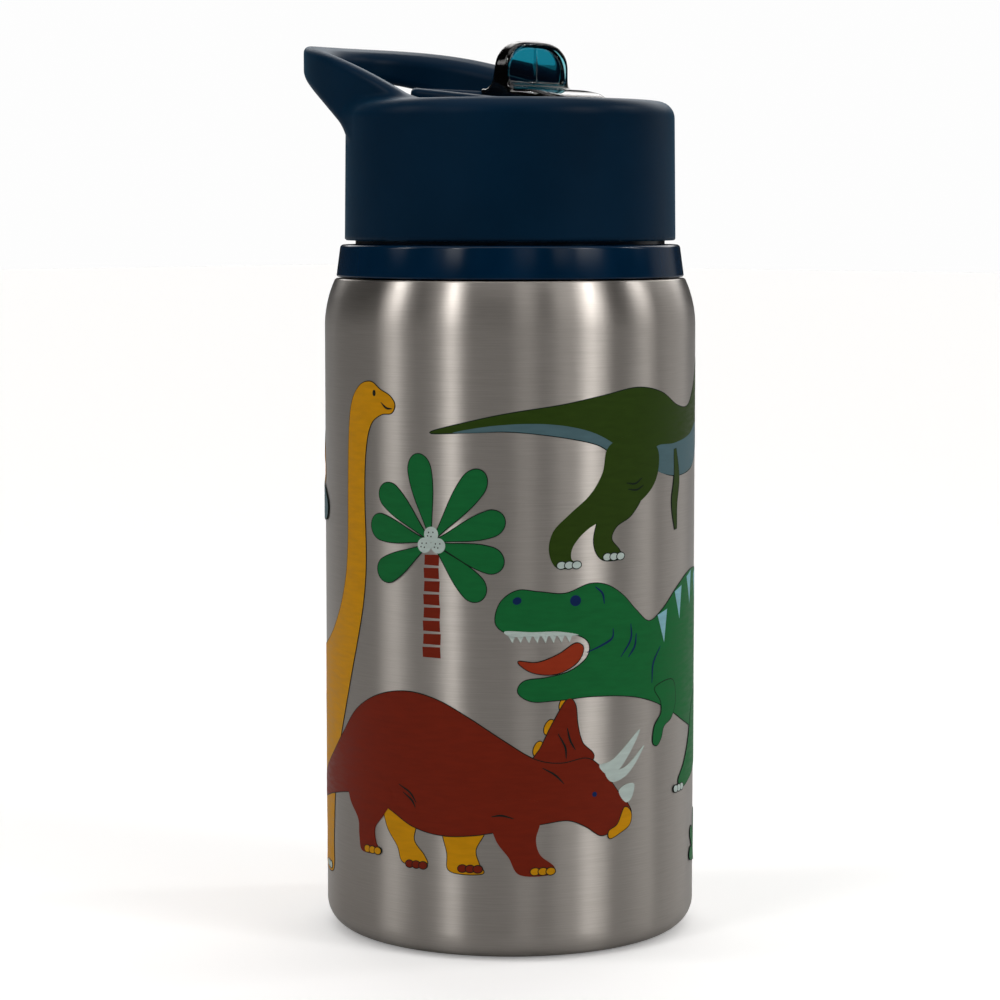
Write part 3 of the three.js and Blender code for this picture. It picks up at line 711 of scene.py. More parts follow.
def lid_field(x, y, z):
    """The whole lid moulding."""
    radius = np.hypot(x, y)
    turn = np.hypot(x, z - PIVOT_Z)
    taper = (LID_R - LID_TOP_R) / (DECK_Z - LID_BOTTOM_Z)
    body = round_and(radius - LID_R + taper * (z - LID_BOTTOM_Z), z - DECK_Z, RIM_R)
    body = round_and(body, LID_BOTTOM_Z - z, 0.45)
    hollow = np.maximum(radius - LID_INNER_R - 0.4, z - DECK_Z + 1.2)
    body = round_or(body, np.maximum(handle_field(x, y, z), -hollow), 1.5)
    body = round_or(body, housing_field(x, y, z), 0.9)
    body = round_and(body, -lid_inside(x, y, z, radius), 0.4)
    for cut in lid_cuts(x, y, z, radius, turn):
        body = round_and(body, -cut, 0.55)
    pin_hole = np.maximum(turn - PIN_R - PIN_GAP, np.abs(y) - PIN_HOLE_END_Y)
    return np.maximum(body, -pin_hole)


def lid_shell(material):
    """The lid's outer moulding, from its distance field."""
    step = 0.48
    low_corner = (-LOOP_REACH, -LID_R, LID_BOTTOM_Z)
    shape = surface_of(lid_field, low_corner, (LID_R, LID_R, LOOP_TOP_Z), step)
    skin("lid_shell", shape, material, "lid", 60)


def threaded_insert(material):
    """Insert with its inner screw ridge and straw boss. Its vent holes, out of sight, are left out."""
    top = CEILING_Z + CEILING_THICK
    section = filleted([
        (INSERT_BORE_R, INSERT_BOTTOM_Z, 0.3), (INSERT_R, INSERT_BOTTOM_Z, 0.3), (INSERT_R, top, 0.3),
        (BOSS_BORE_R, top, 0.1), (BOSS_BORE_R, BOSS_BOTTOM_Z, 0.2), (BOSS_R, BOSS_BOTTOM_Z, 0.3),
        (BOSS_R, CEILING_Z, 0.4), (INSERT_BORE_R, CEILING_Z, 0.3),
    ])
    tip_r = INSERT_BORE_R - RIDGE + 0.05
    ridge = helix_ridge(INSERT_BORE_R + 0.2, RIDGE_FOOT, tip_r, RIDGE_TIP, MALE_START_Z - PITCH / 2)
    skin("threaded_insert", merged(revolved(section, 160), ridge), material, "lid")


def lid_gasket(material):
    """Silicone ring with two sealing beads."""
    bottom, top = LIP_Z + 0.3, CEILING_Z - 0.3
    groove = bottom + 0.25
    section = filleted([
        (GASKET_BORE_R, bottom + 0.3, 0.15), (26.2, bottom, 0.25), (26.9, groove, 0.2),
        (27.8, groove, 0.2), (28.5, bottom, 0.25), (GASKET_R, bottom + 0.3, 0.15),
        (GASKET_R, top, 0.3), (GASKET_BORE_R, top, 0.3),
    ])
    skin("lid_gasket", revolved(section, 160), material, "lid_seal")


def straw(material):
    """Straw with rounded ends."""
    bottom, top = low("straw").z, high("straw").z
    corners = ((STRAW_BORE_R, bottom), (STRAW_R, bottom), (STRAW_R, top), (STRAW_BORE_R, top))
    section = filleted([(*corner, 0.3) for corner in corners])
    skin("straw", revolved(section, 48), material, "lid")


# ---- spout
def spout_field(x, y, z):
    """Thumb tab, mouthpiece and barrel, with the panel sunk into the tab and the drinking bore.
    A box's side that is to cut nothing lies well past the spout."""
    top = PIVOT_Z + BARREL_R
    turn = np.hypot(x, z - PIVOT_Z)
    barrel = round_and(turn - BARREL_R, z - top + 1.5, 1)
    crown = MOUTH_CROWN * np.clip((x - MOUTH_CROWN_X) / 11, 0, 1) ** 2
    mouth = np.maximum(box_2d(x, z + crown, -6, SPOUT_TIP_X, MOUTH_BOTTOM_Z, top, 2.4), -x)
    flare = np.where(x < TAB_BACK_X + 1, TAB_FLARE * np.clip(TAB_FLARE_Z - z, 0, 9) ** 2, 0)
    tab = box_2d(x + flare, z, TAB_BACK_X, TAB_FRONT_X, PIVOT_Z - 2, TAB_TOP_Z, 1.6)
    side = round_or(np.minimum(barrel, mouth), tab, 1.5)
    across = TAB_CORNER_SQUEEZE * y
    half = TAB_CORNER_SQUEEZE * SPOUT_HALF_WIDTH
    front = box_2d(across, z, -half, half, PIVOT_Z - 20, TAB_TOP_Z, 6)
    plan_half = SPOUT_HALF_WIDTH + 0.6
    plan = box_2d(x, y, -20, SPOUT_TIP_X, -plan_half, plan_half, 5.6)
    body = round_and(round_and(side, front, 1), plan, 1.9)
    half = TAB_CORNER_SQUEEZE * PANEL_HALF_WIDTH
    arch = box_2d(across, z, -half, half, PIVOT_Z, TAB_TOP_Z - 1.3, 4.8)
    panel = round_and(arch, top + 0.9 - z, 1.1)
    rib = PANEL_RIB * np.exp(-(y / PANEL_RIB_WIDTH) ** 2)
    body = round_and(body, -round_and(panel, TAB_FRONT_X - PANEL_DEPTH + rib - x, 0.5), 0.35)
    bore = np.hypot(y, z - PIVOT_Z) - FLOW_R
    pins = np.maximum(turn - PIN_R - PIN_GAP, PIN_HOLE_START_Y - np.abs(y))
    return np.maximum(round_and(body, -bore, 0.7), -pins)


def spout(material):
    """The spout's moulding, from its distance field."""
    step = 0.25
    shape = surface_of(spout_field, low("spout"), high("spout"), step)
    skin("spout", shape, material, "spout", 60)


# ---- printed pictures
# Pictures are drawn flat, in millimetres: first number along the circumference, from the middle
# of the side that faces the viewer, and second number the height. Positive is to the right.
VIEW_ANGLE = VIEW_AZIMUTH - math.pi / 2
# Each film of ink stands a layer above the one under it, and all reach a little into the steel.
LAYER = 0.018
INK_ROOT = 0.1
OUTLINE = 0.18
EDGE_STEP = 0.7
CURVE_SAMPLES = 7
STROKE_SAMPLES = 6
# The share of a leaf's length in its round end, where it is widest, and its stalk's share of the width.
LEAF_CAP = 0.2
LEAF_WIDEST = 0.8
LEAF_STALK = 0.12
FILL_STEP = np.array([1.1, 2.6])


def between(a, b, c, d, samples):
    """Points from b towards c on the smooth curve through a, b, c and d."""
    return [0.5 * (2 * b + (c - a) * t + (2 * a - 5 * b + 4 * c - d) * t ** 2
                   + (3 * b - a - 3 * c + d) * t ** 3)
            for t in np.linspace(0, 1, samples, endpoint=False)]


def smooth_loop(points):
    """A closed curve that passes through the points."""
    points = np.array(points, float)
    ring = []
    for i in range(len(points)):
        ring += between(*(points[(i + k) % len(points)] for k in (-1, 0, 1, 2)), CURVE_SAMPLES)
    return np.array(ring)


def straight_loop(points):
    """A closed outline of straight edges, with points added along them."""
    points = np.array(points, float)
    ring = []
    for a, b in zip(points, np.roll(points, -1, axis=0)):
        steps = max(1, round(float(np.linalg.norm(b - a)) / EDGE_STEP))
        ring += [a + (b - a) * k / steps for k in range(steps)]
    return np.array(ring)


def oval(centre, half_width, half_height, turn_deg=0, steps=20):
    """An ellipse turned by an angle."""
    angles = np.linspace(0, 2 * math.pi, steps, endpoint=False)
    flat = np.stack([half_width * np.cos(angles), half_height * np.sin(angles)], 1)
    c, s = math.cos(math.radians(turn_deg)), math.sin(math.radians(turn_deg))
    return flat @ np.array([[c, s], [-s, c]]) + np.array(centre)


def stroke(points, width):
    """A pen line through the points, widest in the middle."""
    points = np.array(points, float)
    padded = np.vstack([2 * points[0] - points[1], points, 2 * points[-1] - points[-2]])
    line = []
    for i in range(len(points) - 1):
        line += between(*padded[i:i + 4], STROKE_SAMPLES)
    line = np.array(line + [points[-1]])
    way = np.gradient(line, axis=0)
    normal = np.stack([-way[:, 1], way[:, 0]], 1) / np.linalg.norm(way, axis=1)[:, None]
    half = width / 2 * (0.35 + 0.65 * np.sin(np.linspace(0, math.pi, len(line))))[:, None]
    return np.vstack([line + normal * half, (line - normal * half)[::-1]])


def grown(ring, margin):
    """The outline moved outward by a margin."""
    ahead = np.roll(ring, -1, axis=0) - np.roll(ring, 1, axis=0)
    length = np.maximum(np.linalg.norm(ahead, axis=1), 1e-9)[:, None]
    normal = np.stack([ahead[:, 1], -ahead[:, 0]], 1) / length
    area = np.sum(ring[:, 0] * np.roll(ring[:, 1], -1) - np.roll(ring[:, 0], -1) * ring[:, 1])
    return ring + normal * margin * (1 if area > 0 else -1)


def inside(points, ring):
    """Which points lie inside a closed outline."""
    x, y = points[:, 0:1], points[:, 1:2]
    ax, ay = ring[:, 0], ring[:, 1]
    bx, by = np.roll(ax, -1), np.roll(ay, -1)
    spans = (ay > y) != (by > y)
    rise = np.where(by == ay, 1e-12, by - ay)
    crossing = ax + (y - ay) * (bx - ax) / rise
    return (np.sum(spans & (x < crossing), axis=1) % 2) == 1


def ink_film(ring, level):
    """A thin closed film on the steel with that outline, as (points, faces)."""
    lowest, highest = ring.min(0), ring.max(0)
    u, v = (np.arange(lowest[k] + 0.6 * FILL_STEP[k], highest[k], FILL_STEP[k]) for k in (0, 1))
    middle = np.stack(np.meshgrid(u, v), -1).reshape(-1, 2) if len(u) and len(v) else np.zeros((0, 2))
    if len(middle):
        gap = np.linalg.norm(middle[:, None] - ring[None], axis=2).min(1)
        middle = middle[inside(middle, ring) & (gap > 0.5)]
    flat = [Vector(p) for p in np.vstack([ring, middle])]
    found = delaunay_2d_cdt(flat, [], [list(range(len(ring)))], 1, 1e-5)
    flat, triangles = np.array([tuple(p) for p in found[0]]), [list(t) for t in found[2]]
    points = []
    for radius in (BODY_R + LAYER * level, BODY_R - INK_ROOT):
        angle = VIEW_ANGLE + flat[:, 0] / BODY_R
        points += np.stack([radius * np.cos(angle), radius * np.sin(angle), flat[:, 1]], 1).tolist()
    size = len(flat)
    edges = {edge: True for a, b, c in triangles for edge in ((a, b), (b, c), (c, a))}
    walls = [[b, a, a + size, b + size] for a, b in edges if (b, a) not in edges]
    under = [[c + size, b + size, a + size] for a, b, c in triangles]
    return points, triangles + under + walls


class Picture:
    """A printed picture, built up from flat shapes of ink that lie on each other."""

    def __init__(self, name, inks):
        self.name = name
        self.inks = inks
        self.used = []
        self.points = []
        self.faces = []
        self.owners = []
        self.films = []

    def fill(self, color, ring, outlined=True):
        """Adds a filled shape, with a thin dark outline under it."""
        if outlined:
            self.film("outline", grown(ring, OUTLINE))
        self.film(color, ring)

    def shapes(self, color, *loops, outlined=True):
        """Adds filled shapes, each with a smooth edge through its points."""
        for points in loops:
            self.fill(color, smooth_loop(points), outlined)

    def lines(self, color, width, *marks):
        """Adds pen lines without an outline."""
        for points in marks:
            self.fill(color, stroke(points, width), False)

    def spots(self, color, *ovals):
        """Adds ovals without an outline, each given as x and z and then oval's other values."""
        for x, z, *size in ovals:
            self.fill(color, oval((x, z), *size), False)

    def film(self, color, ring):
        """Adds one film of ink above those before it."""
        if color not in self.used:
            self.used.append(color)
        lowest, highest = ring.min(0), ring.max(0)
        under = [level for a, b, level in self.films if np.all(a < highest) and np.all(lowest < b)]
        level = max(under, default=0) + 1
        self.films.append((lowest, highest, level))
        points, faces = ink_film(ring, level)
        first = len(self.points)
        self.points += points
        self.faces += [[first + i for i in face] for face in faces]
        self.owners += [self.used.index(color)] * len(faces)

    def finish(self):
        """Makes the piece."""
        inks = [self.inks[color] for color in self.used]
        piece = add_piece("print_" + self.name, self.points, self.faces, inks, "bottle")
        piece.data.polygons.foreach_set("material_index", self.owners)


def toes(picture, color, x, z, side=1):
    """Three rounded toes at the front of a foot."""
    for ahead in (0.4, 1.9, 3.4):
        picture.fill(color, oval((x + side * ahead, z + 0.55), 0.85, 0.65, 8 * side))


def long_neck(picture):
    """Long-necked plant eater that looks to the right."""
    picture.shapes(
        "umber",
        [(-62, 32), (-55, 32), (-56.5, 20), (-56, 13.4), (-62.5, 13.2), (-62.5, 21)],
        [(-79, 34), (-71, 32), (-69, 20), (-68.8, 13.4), (-75, 13.2), (-76, 20)],
    )
    picture.shapes("ochre", [
        (-23.4, 105.2), (-24.6, 106.8), (-27, 107.9), (-29.6, 109.3), (-33, 108.4), (-35.8, 104.8),
        (-36.9, 98), (-37.2, 88), (-37.4, 78), (-38.4, 71), (-41.2, 64.6), (-46, 59.4), (-53, 56.4),
        (-62, 55.4), (-72, 54), (-81, 49.6), (-90, 42), (-99, 34.5), (-108, 29.4), (-114.4, 27.4),
        (-107, 26.2), (-98, 28.4), (-89.5, 31), (-86, 26), (-85, 18), (-85, 12.6), (-77.6, 12.4),
        (-76.4, 19), (-74, 26.4), (-66, 27.6), (-57.6, 27.2), (-53.6, 21), (-53.2, 16), (-53.6, 12.6),
        (-46, 12.4), (-45.4, 19), (-44.4, 28), (-42, 37), (-38.8, 45.6), (-36.2, 53), (-33.6, 61),
        (-31.9, 68), (-31.2, 76), (-31.6, 88), (-31.1, 96.4), (-29.6, 101.2), (-26.8, 103.2),
        (-24.2, 103.6),
    ])
    picture.spots("outline", (-28.6, 107.2, 0.42, 0.62))
    picture.lines("outline", 0.42, [(-24, 104.4), (-25.4, 104.5), (-26.8, 105.5)])
    picture.lines(
        "umber", 0.6,
        [(-57, 47), (-54.6, 44.6), (-54, 41)],
        [(-78, 42), (-76, 39.4), (-75.8, 36)],
    )
    for x in (-82, -50.8):
        toes(picture, "pale", x, 12.6)


def frond(base, angle_deg, length, width, droop):
    """A palm leaf like a paddle: slim at the stalk, round at its end, bent down by droop."""
    rounding = 1 - LEAF_CAP + LEAF_CAP * np.sin(np.linspace(0.15, math.pi / 2, 9))
    along = np.concatenate([np.linspace(0.04, 1 - LEAF_CAP, 12), rounding])
    swell = np.sin(math.pi / 2 * np.clip(along / LEAF_WIDEST, 0, 1)) ** 1.5
    swell = LEAF_STALK + (1 - LEAF_STALK) * swell
    half = width / 2 * swell * np.sqrt(1 - np.clip((along - 1 + LEAF_CAP) / LEAF_CAP, 0, 1) ** 2)
    c, s = math.cos(math.radians(angle_deg)), math.sin(math.radians(angle_deg))
    upper = np.stack([along * length, half], 1)
    lower = np.stack([along * length, -half], 1)[::-1][1:]
    leaf = np.vstack([upper, lower])
    turned = leaf @ np.array([[c, s], [-s, c]])
    turned[:, 1] -= droop * (leaf[:, 0] / length) ** 2
    return turned + np.array(base)


def palm(picture, x, z):
    """Palm tree with a trunk of separate blocks and three nuts."""
    for k in range(8):
        height = z - 2.4 - 2.5 * k
        half = 1.5 + 0.05 * k
        lean = 0.1 * (-1) ** k
        picture.fill("rust", straight_loop([
            (x - half + lean, height), (x + half + lean, height + 0.1), (x + half, height - 2.0),
            (x - half, height - 1.9),
        ]), False)
    leaves = ((-44, 13, 0.6), (-14, 13.4, 0.4), (17, 13.8, -0.4), (52, 15.4, -0.6), (101, 15.2, -0.6),
              (137, 14.6, 0.6), (170, 13.3, -0.4), (212, 13.2, -0.6))
    for angle, length, droop in leaves:
        stem = (x + math.cos(math.radians(angle)), z + math.sin(math.radians(angle)))
        picture.fill("green", frond(stem, angle, length, 4.9, droop))
    for nut_x, nut_z in ((x - 1.4, z - 0.6), (x + 1.4, z - 0.6), (x, z + 1.5)):
        picture.spots("pale", (nut_x, nut_z, 1.45, 1.45))
        for dx, dz in ((-0.5, 0.35), (0.4, 0.4), (0, -0.4), (-0.7, -0.3)):
            picture.spots("outline", (nut_x + dx, nut_z + dz, 0.13, 0.16, 0, 8))


def duck_bill(picture):
    """Plant eater on two legs, walking right, with a slate belly."""
    picture.shapes("olive", [
        (22, 90), (27.4, 88.4), (24.8, 84.4), (21.2, 82.4), (20, 80), (21.8, 77.8), (22.2, 76.2),
        (18, 76.2), (16.2, 79), (16.8, 83), (19, 86.6),
    ])
    picture.shapes("olive", [
        (-15.6, 100.2), (-8, 102.3), (0, 104), (10, 105.5), (18, 107), (26, 108.3), (33, 107.2),
        (39, 104.4), (44.6, 104), (49, 107.2), (53.4, 111.6), (58.6, 113.4), (64, 112), (68.6, 109.2),
        (68, 107), (62.4, 106.4), (58.6, 102.6), (55, 97), (49, 92.4), (42, 91), (36, 91.2), (30, 93),
        (24.6, 94.2), (20.6, 95.8), (16.6, 98), (9, 99.6), (0, 100.6), (-8, 100.4),
    ])
    picture.shapes("slate", [
        (-11, 100.3), (-3, 101.7), (6, 102), (14, 100.8), (20, 98.2), (24.6, 94.2), (22.6, 94.8),
        (20.6, 95.8), (16.6, 98), (9, 99.6), (0, 100.6), (-6, 100.4),
    ], [
        (31.4, 96.8), (38, 97.2), (46, 98.4), (52, 100.4), (55.4, 98), (53, 94.8), (49, 92.4), (42, 91),
        (36, 91.2), (31.6, 92.6),
    ], outlined=False)
    picture.shapes("olive", [
        (19.4, 97.6), (25.4, 99.4), (31.8, 96.6), (31.6, 91), (27.4, 87), (20.8, 84.6), (15.4, 82.4),
        (12.2, 79.4), (11.5, 76.8), (12.8, 75.2), (8.8, 74.9), (7.2, 78), (8, 81.8), (11.2, 85),
        (15.4, 88.6), (18, 92.6),
    ], outlined=False)
    picture.fill("olive", stroke([(38.2, 96), (38.9, 90.4), (38, 85.6), (38.6, 80.6)], 2.4))
    toes(picture, "pale", 18.6, 76.1)
    toes(picture, "pale", 9.2, 74.9)
    picture.spots("outline", (60.8, 110.4, 0.5, 0.6))
    picture.lines(
        "outline", 0.34,
        [(23.4, 90.4), (25.6, 90.2), (27.4, 91.2)],
        [(23.8, 89.2), (26, 89), (27.8, 89.8)],
    )


def big_jaw(picture):
    """Meat eater that looks to the left with its mouth open."""
    picture.shapes("dark_green", [
        (74, 44), (82, 42), (84, 32), (80, 24), (82, 19), (86, 16.4), (78, 15.6), (75.4, 19), (74.6, 25),
        (76, 33),
    ])
    back = [
        (15.2, 71.7), (19, 71.3), (22.6, 69.2), (26, 66), (29.6, 63.6), (34, 65.6), (39.4, 69.2),
        (46, 71.6), (54, 71.4), (62, 69), (70, 64), (79, 56.4), (88, 50), (97, 46.6), (107, 45.8),
    ]
    picture.shapes("green", [
        (-2.7, 64.4), (-2, 68.4), (1.2, 70.8), (5.4, 70.5), (10.4, 70.1), *back, (97, 43.4), (88, 42),
        (80, 39.4), (70, 38), (60, 38.4), (51, 40), (43.6, 42.4), (37, 45.4), (30.4, 48.2), (24, 49.8),
        (16, 50.4), (9, 50), (4, 49.9), (1.4, 51.6), (2.6, 53.7), (7, 54.3), (11.4, 55.4), (14.8, 57.8),
        (15.2, 60.6), (12.4, 62.3), (6.6, 62.5), (0.8, 62.4),
    ])
    picture.shapes("tongue", [
        (1.4, 57.4), (5, 57.2), (9, 58.6), (12.4, 60.6), (14, 59.6), (12.6, 56.9), (8.6, 55.0), (4, 55.4),
    ])
    for k in range(8):
        x = 0.2 + 1.55 * k
        picture.fill("pale", straight_loop([(x - 0.8, 62.6), (x + 0.8, 62.6), (x + 0.15, 60.9)]), False)
    gum = [(-1, 63.2), (4, 63), (9, 63), (13, 62.2), (9, 62.2), (4, 62.2), (0, 62.2)]
    picture.shapes("pale", gum, outlined=False)
    for k in range(9):
        x = 33.6 + 6.2 * k
        top = float(np.interp(x, [q[0] for q in back], [q[1] for q in back])) - 0.2
        stripe = [(x - 1.5, top - 0.7), (x + 1.7, top + 0.2), (x + 0.7, top - 6.2)]
        picture.fill("sky", straight_loop(stripe), False)
    picture.shapes("green", [
        (50, 46), (60, 48), (64, 42), (60, 36), (53, 32.4), (47, 30.6), (42.6, 29.6), (40.4, 31.2),
        (43.6, 34.4), (46.6, 39),
    ])
    picture.shapes("green", [
        (31.4, 50.6), (37.4, 51.4), (38.8, 47.4), (37.2, 44.2), (34.4, 42.8), (33.4, 40.6), (32, 39.3),
        (30.8, 40.2), (31.4, 43.2), (33.4, 45.4), (33.2, 47.8),
    ])
    toes(picture, "pale", 42.4, 29.2, -1)
    toes(picture, "pale", 79, 15.4, -1)
    picture.spots("ink_blue", (12.4, 68.7, 1.1, 1.05), (1.2, 68.9, 0.85, 0.7, 20))
    picture.lines(
        "ink_blue", 0.42,
        [(16.4, 71.2), (18, 69.8), (18.4, 67.8)],
        [(14.8, 58.8), (18, 60), (20.2, 61.2), (20.4, 63)],
        [(24.6, 63.6), (24.6, 60.6), (22.2, 57.4)],
        [(26, 61.6), (25.6, 59.2), (24, 57.2)],
        [(33, 58.4), (30.8, 55.4), (30.4, 51.6)],
    )


def three_horn(picture):
    """Horned plant eater walking to the right."""
    picture.shapes(
        "ochre",
        [(-26, 28.6), (-19, 27), (-19.2, 22.6), (-17, 19.8), (-16.6, 18), (-21.6, 18), (-23, 21),
         (-25.6, 24.6)],
        [(-12.8, 26.4), (-5, 26), (-6.6, 21.6), (-6, 18.9), (-5.4, 17), (-11.6, 17.2), (-12.2, 20.6)],
    )
    for x in (-20.6, -9.6):
        toes(picture, "rust", x, 17.3)
    for x, z, turn in ((5.2, 40.8, 70), (7.3, 44.9, 65), (10.2, 49.2, 70)):
        picture.fill("ochre", oval((x, z), 1.5, 0.85, turn))
    picture.shapes("rust", [
        (3.8, 37), (5.8, 41.2), (8, 45.6), (10.8, 50), (12.4, 49), (12.9, 45), (13.9, 41.6), (16.2, 38.6),
        (11, 34.6),
    ])
    picture.shapes("rust", [
        (-60, 27.4), (-53, 31), (-45.6, 35.6), (-39.6, 40.8), (-34.4, 46), (-28, 49.5), (-21, 50.9),
        (-14.4, 49.8), (-8, 46.6), (-1.4, 42.4), (4.6, 38.8), (9.6, 37.9), (14.6, 38.6), (17.6, 36.8),
        (19.8, 34), (21.8, 31.4), (24, 29), (24.8, 27), (22.6, 26.2), (20.4, 24.4), (17.8, 23.6),
        (14.6, 25.6), (11, 27), (6.4, 26.6), (0, 25.6), (-6.6, 24.4), (-13.4, 24), (-19.4, 25.2),
        (-25, 28), (-31, 30), (-38, 29.4), (-46, 27.8), (-54, 26),
    ])
    picture.shapes(
        "rust",
        [(-37.4, 33), (-29, 34.4), (-24.2, 30.6), (-26.4, 26.6), (-28.8, 23.8), (-28.6, 21), (-27.4, 19),
         (-32.6, 18.7), (-33.6, 21.6), (-34, 24.8), (-37, 28.4)],
        [(-4, 30.4), (4.8, 31), (5.6, 27), (4.8, 23.6), (5.6, 20.6), (8.2, 18.4), (8, 16.8), (1.8, 16.8),
         (-0.4, 20.2), (-3, 24)],
        outlined=False,
    )
    for x in (-31.4, 4.2):
        toes(picture, "ochre", x, 16.9 if x > 0 else 18.8)
    picture.shapes(
        "pale",
        [(17.4, 37), (20.6, 38), (27, 43), (23, 37), (19.7, 35)],
        [(18.8, 35.8), (23.4, 36.2), (28.2, 39.8), (24.2, 35), (20.3, 33.6)],
        [(21.8, 31.6), (23.6, 32.8), (25.6, 32.6), (25, 30.2), (23.4, 29.4)],
        outlined=False,
    )
    picture.shapes("ochre", [
        (23.2, 28.4), (24.8, 27.2), (24.4, 25), (22, 23.6), (19.8, 22.8), (19.6, 24.2), (21.6, 25.4),
    ])
    picture.spots("ink_blue", (16.4, 31.6, 0.5, 0.5))
    picture.lines(
        "outline", 0.36,
        [(9, 43.6), (10.4, 41), (10.6, 38.8)],
        [(10.8, 44.6), (11.4, 42.2), (12.4, 40.4)],
        [(6, 37.2), (8.4, 35.8), (10.2, 34)],
        [(-22.6, 33), (-20, 31.6), (-18.6, 29.8)],
        [(-21.6, 31.6), (-19.6, 30.2), (-18.8, 28.8)],
        [(-3.6, 28), (-1.6, 28.2), (0.6, 27.6)],
    )


def plate_back(picture):
    """Plated plant eater on the far side of the bottle."""
    for k in range(8):
        x = -98 + 6.2 * k
        z = 88.5 + 8.8 * math.sin((k + 0.6) / 8 * math.pi)
        half = 2.4 + 1.3 * math.sin((k + 0.5) / 8 * math.pi)
        picture.shapes("ochre", [
            (x - half, z + 0.6), (x - 0.3, z + 2.6 * half), (x + half, z + 0.6), (x, z - 2),
        ])
    picture.shapes(
        "dark_slate",
        [(-90, 84), (-83, 84), (-84, 76), (-83, 70.4), (-89, 70.2), (-90, 76)],
        [(-66, 84), (-60, 84), (-61, 77), (-60, 70.4), (-65.6, 70.2), (-66.4, 77)],
    )
    picture.shapes("slate", [
        (-110, 84), (-102, 88), (-94, 93.6), (-84, 98), (-74, 98.6), (-65, 94.6), (-58, 88.6),
        (-52.6, 87.4), (-48.6, 84.6), (-50, 81.6), (-56, 81.2), (-61, 80), (-70, 79), (-80, 79.4),
        (-88, 80.8), (-97, 82.6),
    ])
    picture.shapes(
        "slate",
        [(-97, 86), (-87, 86), (-86.6, 77), (-87.4, 70), (-94.4, 69.8), (-95.6, 76)],
        [(-72, 86), (-64.4, 86), (-65.4, 77), (-65.6, 70), (-72, 69.8), (-73, 77)],
    )
    for x in (-90.4, -68.2):
        toes(picture, "pale", x, 69.8)
    for x, z in ((-108, 85.6), (-105, 87.4)):
        picture.fill("pale", straight_loop([(x - 1, z - 1), (x - 2.6, z + 4.4), (x + 1, z)]))
    picture.spots("outline", (-53, 85.4, 0.55, 0.65))


def eggs(picture, x, z):
    """A clutch of three speckled eggs."""
    for dx, dz, color in ((-4.6, 0, "sky"), (4.8, 0.2, "pale"), (0, 1.4, "ochre")):
        picture.fill(color, oval((x + dx, z + dz), 3.6, 4.6, 6 * dx))
        for sx, sz in ((-1.2, 1.4), (1.3, 0.4), (-0.3, -1.8), (0.6, 2.6)):
            picture.spots("umber", (x + dx + sx, z + dz + sz, 0.5, 0.4, 0, 12))


def ferns(picture, x, z):
    """A small fern clump."""
    for angle, length in ((28, 7), (58, 9.5), (90, 11), (122, 9.5), (152, 7)):
        picture.fill("green", frond((x, z), angle, length, 2.6, 0.8))


INKS = {
    "outline": (22, 34, 30), "ochre": (222, 155, 8), "umber": (160, 104, 12), "green": (24, 114, 58),
    "dark_green": (16, 84, 42), "rust": (128, 38, 18), "tongue": (168, 58, 30), "olive": (49, 72, 16),
    "slate": (88, 118, 126), "dark_slate": (62, 86, 94), "pale": (206, 222, 216), "sky": (150, 204, 218),
    "ink_blue": (16, 42, 92),
}
# Each picture's name, what draws it, and its place where it has one.
PICTURES = (
    ("long_neck", long_neck), ("palm_front", palm, -15.3, 79.6), ("duck_bill", duck_bill),
    ("big_jaw", big_jaw), ("three_horn", three_horn), ("plate_back", plate_back),
    ("palm_back", palm, 92, 96), ("eggs", eggs, 96, 20), ("fern_side", ferns, 54, 13),
)


def printed_pictures():
    """All ink colours and pictures."""
    inks = {name: ink(name, linear(*color)) for name, color in INKS.items()}
    for name, draw, *place in PICTURES:
        picture = Picture(name, inks)
        draw(picture, *place)
        picture.finish()


# ---- floor, light and surroundings
FLOOR_GLOW = 0.225
FLOOR_GREY = 0.5
SURROUNDINGS = 0.02
CEILING_LIGHT = 1.2
# Heights are the rise of a direction: 0 at the horizon, 1 straight up.
CEILING_FROM = 0.75
CEILING_FULL = 0.95
STRIP_BOTTOM = 0.2
STRIP_BOTTOM_FADE = 0.12
STRIP_TOP = 0.75
STRIP_TOP_FADE = 0.15
STRIP_COLOR = (1, 0.985, 0.97, 1)
BACKDROP_COLOR = (0.985, 0.985, 0.985, 1)
# Tall strips: angle to the right of the viewer, half width, softness (degrees) and brightness.
STRIPS = (
    (-83, 6, 3, 3.2), (-47, 5, 4, 0.5), (-38.5, 4.5, 3, 3.8), (10, 5, 4, 0.8), (36, 5, 4, 1.1),
    (55, 8.5, 3, 4.2), (99, 4, 3, 2.8), (174, 34, 9, 2.4),
)
# A pale screen beside the bottle, given the same way, that reaches down to the horizon.
SIDE_SCREEN = (125, 14, 8, 0.36)
# Small bright lamps above, which glint on polished edges.
GLINT_TURNS = (-85, -40, 57, 102)
GLINT_DISTANCE = 520
GLINT_HEIGHT = 520
GLINT_SIZE = (22, 120)
GLINT_POWER = 0.22
GLINT_AIM_Z = 90
FLOOR_HALF = 6000


